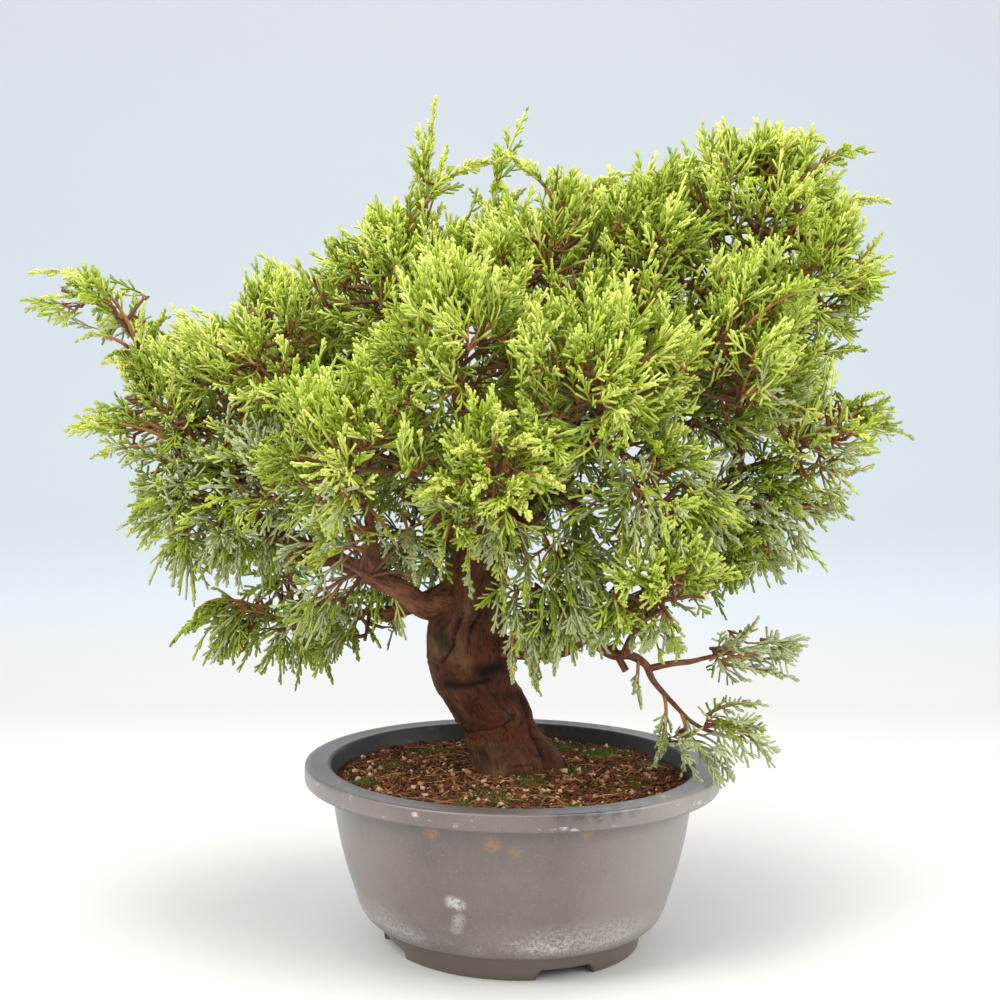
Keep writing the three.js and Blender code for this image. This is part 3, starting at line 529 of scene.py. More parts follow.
def dot(a, b):
    """Product of each pair of vectors, kept as a column."""
    return np.sum(a * b, axis=-1, keepdims=True)


def smooth_step(low, high, values):
    """0 below low, 1 above high, and a smooth S between them."""
    share = np.clip((values - low) / (high - low), 0, 1)
    return share * share * (3 - 2 * share)


def spline(points, t):
    """Catmull-Rom curve through points at shares t, carried on straight beyond each end."""
    points = np.asarray(points, float)
    padded = np.vstack([2 * points[0] - points[1], points, 2 * points[-1] - points[-2]])
    place = np.clip(t, 0, 1) * (len(points) - 1)
    i = np.minimum(place.astype(int), len(points) - 2)
    w = (place - i)[:, None]
    before, start, end, after = (padded[i + k] for k in range(4))
    leave, enter = 0.5 * (end - before), 0.5 * (after - start)
    square = -3 * start + 3 * end - 2 * leave - enter
    cube = 2 * start - 2 * end + leave + enter
    return start + leave * w + square * w ** 2 + cube * w ** 3


def bend(a, b, c, t):
    """Quadratic curve from a to c, drawn towards b: the squares of t and 1 - t as weights."""
    t = np.asarray(t)[..., None]
    return a * (1 - t) ** 2 + 2 * b * t * (1 - t) + c * t ** 2


def bend_way(a, b, c, t):
    """Unit direction of the quadratic curve at t."""
    t = np.asarray(t)[..., None]
    return unit((b - a) * (1 - t) + (c - b) * t)


def value_noise(u, v, seed, around=0):
    """Smooth noise from -1 to 1: random values at whole numbers of u and v, blended between
    them by an S curve. Where around is given, it repeats in u after that many."""
    rng = np.random.default_rng(seed)
    table = rng.uniform(-1, 1, (64, around if around else 64))
    i, j = np.floor(u).astype(int), np.floor(v).astype(int)
    a, b = u - i, v - j
    a, b = a * a * (3 - 2 * a), b * b * (3 - 2 * b)
    rows, columns = table.shape
    i0, i1, j0, j1 = i % columns, (i + 1) % columns, j % rows, (j + 1) % rows
    low = table[j0, i0] * (1 - a) + table[j0, i1] * a
    high = table[j1, i0] * (1 - a) + table[j1, i1] * a
    return low * (1 - b) + high * b


def steps(points):
    """Lengths between the points of a row."""
    return np.linalg.norm(np.diff(points, axis=0), axis=1)


# Meshes

def placed(points):
    """From millimetres round the pot's middle to metres in the frame."""
    return np.asarray(points, float) * MM + POT_MIDDLE


def mesh_piece(name, spots, faces, materials, kinds=None, uv=None, marks=None):
    """One object from arrays: spots (n, 3) in metres and faces (m, 3 or 4) of spot numbers.
    kinds gives each face's material, uv each face corner's place, marks a value per spot."""
    mesh = bpy.data.meshes.new(name)
    corners = faces.shape[1]
    mesh.vertices.add(len(spots))
    mesh.vertices.foreach_set("co", spots.astype(np.float32).ravel())
    mesh.loops.add(faces.size)
    mesh.loops.foreach_set("vertex_index", faces.astype(np.int32).ravel())
    mesh.polygons.add(len(faces))
    mesh.polygons.foreach_set("loop_start", np.arange(0, faces.size, corners, dtype=np.int32))
    mesh.polygons.foreach_set("use_smooth", np.ones(len(faces), bool))
    for material in materials:
        mesh.materials.append(material)
    if kinds is not None:
        mesh.polygons.foreach_set("material_index", kinds.astype(np.int32))
    if uv is not None:
        mesh.uv_layers.new(name="Surface").data.foreach_set("uv", uv.astype(np.float32).ravel())
    for label, values in (marks or {}).items():
        layer = mesh.attributes.new(label, "FLOAT", "POINT")
        layer.data.foreach_set("value", values.astype(np.float32).ravel())
    mesh.update(calc_edges=True)
    piece = bpy.data.objects.new(name, mesh)
    bpy.context.scene.collection.objects.link(piece)
    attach(piece, "root")
    return piece


def grid_faces(rings, sides, closed=False):
    """Quads between rings of sides spots each, and their corners' (ring, side) numbers.
    Where closed, the last ring meets the first."""
    rows = rings if closed else rings - 1
    ring, side = np.repeat(np.arange(rows), sides), np.tile(np.arange(sides), rows)
    places = np.stack([
        np.stack([ring, side], 1), np.stack([ring, side + 1], 1),
        np.stack([ring + 1, side + 1], 1), np.stack([ring + 1, side], 1)], 1)
    faces = (places[..., 0] % rings) * sides + places[..., 1] % sides
    return faces, places


def halves(quads):
    """The two triangles of each quad: all the first ones, then all the second ones."""
    return np.concatenate([quads[:, [0, 1, 2]], quads[:, [0, 2, 3]]])


def fan(first, sides, middle, flipped=False):
    """Triangles from a middle spot to the ring of sides spots that starts at the first."""
    k = np.arange(sides)
    pairs = first + np.stack([k, (k + 1) % sides], 1)
    return np.column_stack([np.full(sides, middle), pairs[:, ::-1] if flipped else pairs])


def turns(sides):
    """Even angles round a ring."""
    return 2 * math.pi * np.arange(sides) / sides


def ring_ways(first, second, sides):
    """Ways to the sides of a ring: the cosine times one direction, the sine times the other."""
    turn = turns(sides)[:, None]
    return first[..., None, :] * np.cos(turn) + second[..., None, :] * np.sin(turn)


def bundle(centres, radii, across, tips=None, sides=3):
    """Many closed tubes at once. centres (n, rings, 3) and radii (n, rings) give each tube's
    rings, across a direction to its first corner and tips its point, where it has one instead
    of a flat end. Returns the spots, the triangles, and the ring that each triangle starts at."""
    count, rings = radii.shape
    axis = centres if tips is None else np.concatenate([centres, tips[:, None]], 1)
    on = unit(axis[:, 1:] - axis[:, :-1])
    ways = np.concatenate([on, on[:, -1:]], 1) + np.concatenate([on[:, :1], on], 1)
    ways = unit(ways)[:, :rings]
    first = unit(across[:, None] - dot(across[:, None], ways) * ways)
    ring = ring_ways(first, np.cross(ways, first), sides)
    spots = (centres[:, :, None] + radii[:, :, None, None] * ring).reshape(count, -1, 3)
    quads, places = grid_faces(rings, sides)
    last = (rings - 1) * sides
    k = np.arange(1, sides - 1)
    foot = np.column_stack([k * 0, k + 1, k])
    end = np.column_stack([k * 0 + last, last + k, last + k + 1])
    if tips is not None:
        spots = np.concatenate([spots, tips[:, None]], 1)
        end = np.roll(fan(last, sides, rings * sides), -1, axis=1)
    one = np.concatenate([halves(quads), foot, end])
    at_ring = np.repeat([0, rings - 1], [len(foot), len(end)])
    at_ring = np.concatenate([np.tile(places[:, 0, 0], 2), at_ring])
    faces = one[None] + (np.arange(count) * spots.shape[1])[:, None, None]
    return spots.reshape(-1, 3), faces.reshape(-1, 3), np.tile(at_ring, count)


def joined(parts):
    """Several (spots, faces, kinds) as one."""
    spots, faces, kinds = zip(*parts)
    offsets = np.cumsum([0, *map(len, spots[:-1])])
    faces = [own + offset for own, offset in zip(faces, offsets)]
    return [np.concatenate(rows) for rows in (spots, faces, kinds)]


# Limbs, by the same rule as the solids

class Limb:
    """A curve through points with a radius that runs evenly between them."""

    def __init__(self, points, radii):
        self.points = np.asarray(points, float)
        self.radii = np.asarray(radii, float)

    def at(self, t):
        """Places on the curve at shares t of it."""
        return spline(self.points, np.atleast_1d(t))

    def radius(self, t):
        """Its radius there."""
        return np.interp(t, np.linspace(0, 1, len(self.radii)), self.radii)

    def way(self, t):
        """Its unit direction there."""
        t = np.atleast_1d(t)
        return unit(self.at(np.minimum(t + 0.004, 1)) - self.at(np.maximum(t - 0.004, 0)))

    def length(self):
        """Its length along the curve."""
        return steps(self.at(np.linspace(0, 1, 120))).sum()


class Mass:
    """One mass of foliage: an ellipsoid that its shoots reach."""

    def __init__(self, number, name, middle, reach, lift, tint, kind="dense", lead=(0, 0, 0)):
        self.name, self.lift, self.tint, self.kind = name, lift, tint, kind
        self.middle, self.reach, self.lead = (np.array(p, float) for p in (middle, reach, lead))
        self.seed = SEED + 97 * number

    def size(self):
        """The reach of a ball as large."""
        return float(np.prod(self.reach) ** (1 / 3))

    def depth(self, points):
        """How far out points are: 0 in the middle, 1 at the reach."""
        return np.linalg.norm((points - self.middle) / self.reach, axis=-1)

    def way_out(self, start, way):
        """Length from start along way to the ellipsoid."""
        p = (start - self.middle) / self.reach
        q = way / self.reach
        pq, qq, pp = np.sum(p * q, -1), np.sum(q * q, -1), np.sum(p * p, -1)
        return (-pq + np.sqrt(np.maximum(0, pq * pq - qq * (pp - 1)))) / qq


def fed_by(name):
    """The mass that a limb feeds. The trunk's own bushes count with the low one at the back."""
    own = name.removeprefix("bough_")
    return "back_low" if own == "trunk" else FEEDS.get(own, own)


@lru_cache(maxsize=1)
def limbs_and_masses():
    """Every limb and every mass by name, and the limb that bears each mass."""
    masses = {row[0]: Mass(number, *row) for number, row in enumerate(MASSES)}
    limbs = {"trunk": Limb(TRUNK[:, :3], TRUNK[:, 3])}
    bearers = {"apex": limbs["trunk"]}
    for name, start, place, foot_radius, bends in BOUGHS:
        mass = masses[fed_by(name)]
        foot = limbs[start].at(place)[0]
        bends = [np.array(b, float) for b in bends]
        bends = [b for b in bends if mass.depth(b) > BOUGH_ENDS + 0.1]
        back = unit(([foot] + bends)[-1] - mass.middle)
        tip = mass.middle + back * BOUGH_ENDS * mass.way_out(mass.middle, back)
        points = [foot, *bends, tip]
        shares = np.linspace(0, 1, len(points)) ** 0.8
        limbs[name] = Limb(points, foot_radius + (BOUGH_TIP - foot_radius) * shares)
        bearers[mass.name] = limbs[name]
    return limbs, masses, bearers


# Foliage

def shorter(a, b, c, t):
    """The control points of a bend's first part, up to t."""
    return a, a + (b - a) * t, bend(a, b, c, t)


def spread(k):
    """Direction number k of a set spread evenly over a sphere."""
    u = (0.5 + k * 0.7548776662) % 1
    turn = 2 * math.pi * ((0.5 + k * 0.569840291) % 1)
    flat = math.sqrt(1 - (1 - 2 * u) ** 2)
    return np.array([flat * math.cos(turn), flat * math.sin(turn), 1 - 2 * u])


def stem_of(mass, bearer):
    """The stem's three control points: on from its bough's tip, through the mass."""
    start, way = bearer.at(1)[0], bearer.way(1)[0]
    onward = unit(mass.middle - start)
    end = mass.middle + mass.lead
    if not mass.lead.any():
        end = mass.middle + onward * 0.45 * mass.way_out(mass.middle, onward)
    return start, start + way * 0.45 * np.linalg.norm(end - start), end


def twigs_of(mass, stem, count):
    """Control points of count twigs. Each leaves the stem short of its own target, which
    lies at nearly half the mass's reach, and bends up to it or hangs down to it. The draws that
    the solids give to their shoots are passed over, so that the twigs' own are the same."""
    draw = dice(mass.seed)
    for _ in range(2):
        next(draw)
    places = np.arange(13) / 12
    on_stem = bend(*stem, places)
    length = steps(on_stem).sum()
    rows = []
    for k in range(count):
        far = TWIG_REACH * (0.85 + 0.3 * next(draw))
        for _ in range(SHOOT_DRAWS):
            next(draw)
        target = spread(k) * mass.reach * far + mass.middle
        gaps = np.linalg.norm(on_stem - target, axis=1)
        place = np.clip(places[gaps.argmin()] - 0.35 * gaps.min() / length, 0.12, 0.95)
        foot = bend(*stem, place)
        bow = (foot + target) / 2 - UP * 0.12 * mass.lift * np.linalg.norm(target - foot)
        rows.append((foot, bow, target))
    return np.array(rows).transpose(1, 0, 2)


def beside(ways, rng):
    """A random unit vector at right angles to each way."""
    return unit(np.cross(ways, rng.normal(size=ways.shape)))


def outward(mass, points):
    """Way out of the mass and of the whole crown together."""
    own = unit((points - mass.middle) / mass.reach)
    return unit(0.5 * own + 0.7 * unit((points - CROWN_MIDDLE) / CROWN_REACH))


def in_opening(points, rng):
    """True for points left out because they hide an opening from the front. A point's place
    there is where the line to it from the camera's place meets the plane Y = 0."""
    share = -EYE[1] / (points[:, 1] - EYE[1])
    x = EYE[0] + (points[:, 0] - EYE[0]) * share
    z = EYE[2] + (points[:, 2] - EYE[2]) * share
    through = [(*row, part, math.inf) for part, rows in OPENINGS.items() for row in rows]
    left_out = np.zeros(len(points))
    for middle_x, middle_z, half_x, half_z, part, in_front_of in FRONT_OPENINGS + through:
        far = np.hypot((x - middle_x) / half_x, (z - middle_z) / half_z)
        here = part * (1 - smooth_step(0.8, 1.15, far)) * (points[:, 1] < in_front_of)
        left_out = np.maximum(left_out, here)
    return rng.random(len(points)) < left_out


def bridges(masses, stems):
    """Small masses that fill the creases between the dense ones, each with a stem that leaves
    the middle of one neighbour's stem: their middle is the neighbours' midpoint, moved out of
    the crown at right angles to the line between them."""
    made = []
    dense = [mass for mass in masses.values() if mass.kind == "dense"]
    for number, one in enumerate(dense):
        for other in dense[number + 1:]:
            size = (one.size() + other.size()) / 2
            gap = other.middle - one.middle
            if not BRIDGED[0] < np.linalg.norm(gap) / size < BRIDGED[1]:
                continue
            middle = (one.middle + other.middle) / 2
            out = (middle - CROWN_MIDDLE) / CROWN_REACH
            out = unit(out - unit(gap) * np.dot(out, unit(gap)))
            lift = (one.lift + other.lift) / 2
            tint = one.tint if one.seed % 2 else other.tint
            middle = middle + BRIDGE_OUT * size * out
            reach = [BRIDGE_REACH * size] * 3
            bridge = Mass(BRIDGE_NUMBER + len(made), one.name, middle, reach, lift, tint, "bridge")
            start = bend(*stems[one.name], 0.5)
            made.append((bridge, (start, (start + bridge.middle) / 2, bridge.middle)))
    return made


def inner_bushes(limbs):
    """Small loose masses inside the crown, each on a random side of its limb, with a stem that
    leaves it there."""
    rng = np.random.default_rng(SEED + 9)
    made = []
    for name, places in INNER.items():
        for place in places:
            start, way = limbs[name].at(place)[0], limbs[name].way(place)[0]
            out = unit(beside(way, rng) + 0.35 * UP)
            middle = start + out * rng.uniform(0.6, 0.9) * INNER_REACH
            # Grey and dark tints, partly painted shade inside the crown
            tint = "grey" if len(made) % 2 else "dark"
            number = INNER_NUMBER + len(made)
            bush = Mass(number, fed_by(name), middle, [INNER_REACH] * 3, -0.15, tint, "inner")
            made.append((bush, (start, (start + middle) / 2 - UP * 3, middle)))
    return made


def lumps(points):
    """Smooth bumps from -1 to 1, about 45 mm wide: bent waves along X times bent waves along Z."""
    x, y, z = points.T / 15
    return np.sin(x + 1.3 * np.sin(0.8 * z)) * np.cos(z + 1.1 * np.sin(0.9 * y))


def room(mass, others, start, ways):
    """Length from start along ways to the mass's reach, which is made lumpy, and by up to an
    eighth further where a neighbour is near, so that the masses run into each other."""
    length = mass.way_out(start, ways)
    end = start + ways * length[:, None]
    near = np.min([other.depth(end) for other in others], axis=0)
    return length * (1 + 0.12 * (1 - smooth_step(0.85, 1.3, near))) * (0.9 + 0.12 * lumps(end))


def grow_branchlets(mass, others, twigs, each, rng):
    """Control points of the branchlets: each twig bears some along its outer half, which go
    outwards by up to half of the room that is left, bowed by the mass's lift."""
    foot, bow, end = (np.repeat(p, each, 0) for p in twigs)
    count = len(foot)
    place = np.tile(np.linspace(0.5, 1.0, each) if each > 1 else [1.0], count // each)
    place = np.clip(place + rng.uniform(-0.12, 0, count), 0, 1)
    at = bend(foot, bow, end, place)
    ways = unit(0.9 * unit((at - mass.middle) / mass.reach) + 0.35 * bend_way(foot, bow, end, place)
                + 0.15 * mass.lift * UP + 0.5 * rng.normal(size=(count, 3)))
    length = (room(mass, others, at, ways) * rng.uniform(0.12, 0.48, count))[:, None]
    return np.stack([at, at + (ways * 0.5 - UP * 0.15 * mass.lift) * length, at + ways * length])


def grow_twiglets(mass, others, branchlets, each, spray, rng):
    """Control points of the twiglets. Those of one branchlet are a tuft: they spread from it on
    all sides by the golden angle, the low ones most, and all bend round to one sweep, between
    the way out, up or down by the mass's lift, the branchlet's own way and the mass's lead.
    They stop short of the mass's reach by the length of their sprays."""
    foot, bow, end = branchlets
    count = len(foot)
    rise = 0.1 + 0.8 * min(mass.lift, 0.9) if mass.lift >= 0 else 0.8 * mass.lift
    sweep = 0.9 * outward(mass, end) * SIDEWAYS + 0.3 * bend_way(foot, bow, end, np.ones(count))
    sweep += (0.3 if mass.kind == "tip" else 1.3) * unit(mass.lead)
    sweep = unit(sweep + rise * UP + 0.45 * rng.normal(size=(count, 3)))
    rows = (foot, bow, end, sweep, rng.uniform(0.72, 1.06, count), beside(sweep, rng))
    foot, bow, end, sweep, share, first = (np.repeat(row, each, 0) for row in rows)
    place = np.tile(np.linspace(0.35, 1.0, each), count)
    place = np.clip(place + rng.uniform(-0.08, 0.0, len(place)), 0.15, 1)
    turn = (np.arange(len(place)) * GOLDEN)[:, None]
    wide = ((TUFT_SPREAD - 0.9 * place) * rng.uniform(0.55, 1.2, len(place)))[:, None]
    ways = unit(sweep + wide * (first * np.cos(turn) + np.cross(sweep, first) * np.sin(turn)))
    at = bend(foot, bow, end, place)
    length = room(mass, others, at, unit(ways + sweep)) * share * rng.uniform(0.88, 1.05, len(place))
    length = np.clip(length - 0.5 * spray, 7, 27)[:, None]
    sag = 0.08 * np.sign(mass.lift + 0.05)
    tips = at + (0.5 * ways + 0.58 * sweep) * length
    return np.stack([at, at + ways * 0.55 * length - UP * sag * length, tips])


def grow_sprays(twiglets, each, spray, lift, leader, rng):
    """Shoots along each twiglet like a plume, mostly to its two sides: far across it and long
    low down, nearly along it and shorter at its end, and bent round to where its end points and
    up, or down where they hang. Along a leader they keep closer to it and shorten to a slim
    tip. Returns their starts, ways, lengths, bends and places on the twiglet."""
    foot, bow, end = (np.repeat(p, each, 0) for p in twiglets)
    count = len(foot)
    place = np.tile(np.linspace(0.3, 1.0, each), count // each)
    place = np.clip(place + rng.uniform(-0.06, 0.02, count), 0, 1)
    at = bend(foot, bow, end, place)
    tangent = bend_way(foot, bow, end, place)
    first = np.repeat(beside(bend_way(*twiglets, np.full(count // each, 0.5)), rng), each, 0)
    first = unit(first - dot(first, tangent) * tangent)
    second = np.cross(tangent, first)
    turn = (np.arange(count) * math.pi + rng.normal(0, 0.7, count))[:, None]
    wide, narrow, taper = (44, 26, 0.95) if leader else (66, 44, 0.45)
    angle = np.radians(wide - narrow * place ** 1.5 + rng.uniform(-10, 10, count))[:, None]
    ways = tangent * np.cos(angle) + (first * np.cos(turn) + second * np.sin(turn)) * np.sin(angle)
    hangs = lift < -0.05
    ways = unit(ways + UP * (0.4 * lift if hangs else 0 if leader else 0.15 * lift))
    length = rng.uniform(0.72, 1.15, count) * spray * (1.15 - taper * place)
    rise = (-0.3 if hangs else 0.1 if leader else 0.16) * rng.uniform(0.2, 1.4, (count, 1))
    onward = rng.uniform(0.15, 0.55, (count, 1)) * bend_way(foot, bow, end, np.ones(count))
    return at, ways, length, rise * UP + onward, place


def spray_tints(mass, start, place, each, rng):
    """A colour number for each spray, by its mass's tint, its twiglet's own roll and where it
    lies: the inside is deep green as painted shade, what hangs is grey, partly as painted shade,
    and the twiglets' ends are bright."""
    count = len(start)
    roll = np.repeat(rng.random(count // each), each) + 0.35 * (rng.random(count) - 0.5)
    roll = np.clip(roll + 0.3 * (place - 0.6), 0, 0.999) * 0.98
    tints = np.searchsorted(np.cumsum(TINTS[mass.tint])[:-1], roll)
    # Painted shade: sprays deep in their mass are a colour darker
    inside = (mass.depth(start) < 0.6) & (rng.random(count) < 0.8)
    tints = np.where(inside & (tints < 4), np.maximum(tints - 1, 0), tints)
    # Painted shade in part: low sprays of masses that rise little turn grey
    low = (start - mass.middle)[:, 2] < -0.25 * mass.reach[2]
    under = low & (mass.lift < 0.25) & (rng.random(count) < 0.5)
    return np.where(under & (tints > 0), 4, tints)


def spray_shapes(start, ways, length, pull, tints, thick, rng):
    """The shoots of many sprays: a slim axis that the pull bends more and more, with blunt
    fingers to alternate sides, the longest lowest, so that their ends fan out about as far."""
    count = len(start)
    length = length[:, None]
    normal = beside(ways, rng)
    side_way = np.cross(normal, ways)
    rise = pull + rng.uniform(-0.14, 0.14, (count, 1)) * side_way

    def on_axis(t):
        t = t[..., None]
        return start[:, None] + length[:, None] * (ways[:, None] * t * 0.85 + rise[:, None] * t ** 2)

    thick = thick / 2 * rng.uniform(0.9, 1.15, (count, 1))
    shares = np.tile([0.0, 0.4, 0.75, 1.0], (count, 1))
    parts = [(on_axis(shares), thick * [0.62, 0.88, 0.95, 0.9], normal, tints)]
    places = np.linspace(0.26, 0.84, FINGERS) + rng.uniform(-0.06, 0.06, (count, FINGERS))
    root = on_axis(places)
    flip = np.where(np.arange(FINGERS) % 2, 1, -1) * rng.choice([-1, 1], (count, 1))
    lean = np.radians(rng.uniform(34, 60, (count, FINGERS)))[..., None]
    out = ways[:, None] * np.cos(lean) + side_way[:, None] * flip[..., None] * np.sin(lean)
    out = unit(out + normal[:, None] * rng.uniform(-0.4, 0.4, (count, FINGERS, 1))
               + 1.6 * places[..., None] * rise[:, None])
    long = length * (0.46 * (1 - places) + 0.18) * rng.uniform(0.75, 1.2, (count, FINGERS))
    t = np.array([0.0, 0.5, 1.0])[:, None]
    turned = 0.8 * out[:, :, None] * t + 0.28 * ways[:, None, None] * t ** 2
    rings = root[:, :, None] + turned * long[..., None, None]
    radii = np.repeat(thick, FINGERS, 1)[..., None] * [0.72, 0.95, 0.9]
    parts.append((rings.reshape(-1, 3, 3), radii.reshape(-1, 3), np.repeat(normal, FINGERS, 0),
                  np.repeat(tints, FINGERS)))
    return parts


def crowded(others, points, share):
    """True where a point lies deep inside another mass, where nothing of this one shows."""
    return np.min([other.depth(points) for other in others], axis=0) < share


def axis_shoots(twiglets, green_from, thick, tint, rng):
    """The green outer part of each twiglet's own axis, from a share of its length on, in one of
    three colours that go with the mass's tint."""
    tints = TWIGLET_TINTS.get(tint, USUAL_TWIGLET_TINTS)
    foot, bow, end = (p[:, None] for p in twiglets)
    t = np.full((len(foot), 1), green_from) + (1 - green_from) * np.linspace(0, 1, 5)
    radii = thick / 2 * np.tile([0.8, 1.15, 1.1, 1.0, 0.8], (len(t), 1))
    centres = bend(foot, bow, end, t)
    across = beside(centres[:, 1] - centres[:, 0], rng)
    return [(centres, radii, across, rng.choice(tints, len(t)))]


def grown_mass(mass, stem, others, density, spray, thick):
    """One mass's stem, twigs, branchlets, twiglets and leaders as control points, and its shoots
    as bundle rows. What hides an opening or lies deep inside another mass is left out."""
    rng = np.random.default_rng(mass.seed)
    twig_count, branchlet_count, twiglet_count, spray_count = GROWTH[mass.kind]
    hidden = HIDDEN.get(mass.kind, USUALLY_HIDDEN)
    slim = mass.kind == "slim"
    if mass.kind == "dense":
        growth = BACK_GROWTH if mass.middle[1] > BACK_FROM else FRONT_GROWTH
        twig_count *= (mass.size() / USUAL_SIZE) ** growth
    twigs = twigs_of(mass, stem, max(1, int(round(twig_count * density))))
    twigs = twigs[:, ~in_opening(twigs[2], rng)]
    branchlets = grow_branchlets(mass, others, twigs, branchlet_count, rng)
    branchlets = branchlets[:, ~in_opening(branchlets[2], rng)]
    twiglets = grow_twiglets(mass, others, branchlets, twiglet_count, spray, rng)
    tips = twiglets[2]
    inside = np.linalg.norm((tips - CROWN_MIDDLE) / CROWN_REACH, axis=1) < CROWN_INSIDE
    kept = ~crowded(others, tips, hidden) & ~in_opening(tips, rng)
    twiglets = twiglets[:, kept & ~(inside & (rng.random(len(inside)) < THINNED))]
    rows = axis_shoots(twiglets, GREEN_FROM, thick, mass.tint, rng)
    start, ways, length, pull, place = grow_sprays(
        twiglets, spray_count, spray, mass.lift, slim, rng)
    tints = spray_tints(mass, start, place, spray_count, rng)
    length = np.minimum(length, room(mass, others, start, ways) + PAST_REACH)
    ends = start + ways * length[:, None]
    kept = (length > SHORTEST) & ~crowded(others, ends, hidden + 0.12) & ~in_opening(ends, rng)
    sprays = [[values[kept] for values in (start, ways, length, pull, tints)]]
    leaders = [] if mass.kind in HIDDEN else LEADERS.get(mass.name, [])
    for *points, many, brown in leaders:
        leader = np.array(points, float)[:, None]
        share = min(1, np.linalg.norm(leader[2] - leader[0]) / LEADER_LENGTH)
        own = LEADER_SPRAY * share * spray
        *values, place = grow_sprays(leader, many, own, mass.lift, True, rng)
        sprays.append([*values, spray_tints(mass, values[0], place, many, rng)])
        rows += axis_shoots(leader, brown, LEADER_THICK * thick, mass.tint, rng)
    rows += spray_shapes(*(np.concatenate(values) for values in zip(*sprays)), thick, rng)
    return {
        "stem": shorter(*stem, SLIM_STEM) if slim else stem, "twigs": twigs, "slim": slim,
        "branchlets": branchlets, "twiglets": twiglets, "sprays": rows,
        "leaders": [row[:3] for row in leaders]}


@lru_cache(maxsize=1)
def grown_crown(density, spray, thick):
    """All that grows in every mass, in the bridges and in the inner bushes, by the mass's name."""
    limbs, masses, bearers = limbs_and_masses()
    stems = {name: stem_of(mass, bearers[name]) for name, mass in masses.items()}
    crown = {name: [] for name in masses}
    own = [(mass, stems[name]) for name, mass in masses.items()]
    for mass, stem in own + bridges(masses, stems) + inner_bushes(limbs):
        others = [other for other in masses.values() if other is not mass]
        crown[mass.name].append(grown_mass(mass, stem, others, density, spray, thick))
    return crown


# Materials

class Finish:
    """A principled material. Most methods add a node and give back what comes out of it. What
    goes into one is a number, a colour or what came out of another."""

    def __init__(self, name, color, roughness, specular):
        self.material = bpy.data.materials.new(name)
        self.material.use_nodes = True
        self.material.diffuse_color = (*color, 1)
        self.tree = self.material.node_tree
        self.shader = self.tree.nodes["Principled BSDF"]
        self.shader.inputs["Base Color"].default_value = (*color, 1)
        self.shader.inputs["Roughness"].default_value = roughness
        self.shader.inputs["Specular IOR Level"].default_value = specular

    def drive(self, socket, source):
        """Links source to one of the shader's own inputs."""
        self.tree.links.new(source, self.shader.inputs[socket])

    def node(self, kind, inputs, **values):
        """A node with its own settings, and then its inputs by number or name."""
        made = self.tree.nodes.new("ShaderNode" + kind)
        for key, value in values.items():
            setattr(made, key, value)
        for socket, value in inputs.items():
            if isinstance(value, bpy.types.NodeSocket):
                self.tree.links.new(value, made.inputs[socket])
            else:
                made.inputs[socket].default_value = value
        return made

    def place(self):
        """Where a spot lies in the frame, in metres."""
        return self.node("TexCoord", {}).outputs["Object"]

    def mark(self, name):
        """The value of one of a piece's own marks."""
        return self.node("Attribute", {}, attribute_name=name).outputs["Fac"]

    def ramp(self, source, *stops):
        """Colours over source, by stops of (value, colour)."""
        made = self.node("ValToRGB", {0: source})
        band = made.color_ramp.elements
        while len(band) < len(stops):
            band.new(0.5)
        for element, (value, color) in zip(band, stops):
            element.position = value
            element.color = (*color, 1)
        return made.outputs[0]

    def mask(self, source, low, high, full=1.0, least=0.0):
        """Grey over source: least up to low, and full from high on."""
        return self.ramp(source, (low, (least,) * 3), (high, (full,) * 3))

    def mixed(self, share, low, high, blend="MIX"):
        """The colour low where share is 0, and high, or their blend, where it is 1."""
        inputs = {0: share, 6: low, 7: high}
        for socket in (6, 7):
            if not isinstance(inputs[socket], bpy.types.NodeSocket):
                inputs[socket] = (*inputs[socket], 1)
        return self.node("Mix", inputs, data_type="RGBA", blend_type=blend).outputs[2]

    def number(self, operation, first, second, clamp=False):
        """What a Math node works out from two numbers."""
        made = self.node("Math", {0: first, 1: second}, operation=operation, use_clamp=clamp)
        return made.outputs[0]

    def times(self, first, second, clamp=False):
        return self.number("MULTIPLY", first, second, clamp)

    def less(self, first, second):
        return self.number("SUBTRACT", first, second)

    def rise(self, source, low, high, start=0.0, end=1.0):
        """Evenly from start, where source is low, to end, where it is high, and kept beyond."""
        return self.node("MapRange", {0: source, 1: low, 2: high, 3: start, 4: end}).outputs[0]

    def noise(self, place, scale, detail, rough):
        """Fractal noise from 0 to 1."""
        inputs = {"Vector": place, "Scale": scale, "Detail": detail, "Roughness": rough}
        return self.node("TexNoise", inputs).outputs["Fac"]

    def stretched(self, place, scale, location=(0, 0, 0)):
        """A place times scale, then moved."""
        inputs = {"Vector": place, "Scale": scale, "Location": location}
        return self.node("Mapping", inputs).outputs[0]

    def bump(self, height, strength, distance):
        """Makes the surface look raised by the height."""
        inputs = {"Height": height, "Strength": strength, "Distance": distance}
        self.drive("Normal", self.node("Bump", inputs).outputs[0])

    def spot(self, place, x, z, radius):
        """1 within about a third of the radius of a place seen from the front, falling to 0 at
        the radius."""
        scale = 1 / (radius * MM)
        middle = placed([x, 0, z]) * scale
        moved = self.stretched(place, (scale, 0, scale), (-middle[0], 0, -middle[2]))
        far = self.node("VectorMath", {0: moved}, operation="LENGTH").outputs["Value"]
        return self.rise(far, 1.0, 0.35)


def paint(name, color, roughness, specular):
    """A material of one plain colour."""
    return Finish(name, color, roughness, specular).material


def tinted(color, share):
    """A colour made darker or lighter by a share."""
    return tuple(min(1, share * channel) for channel in color)


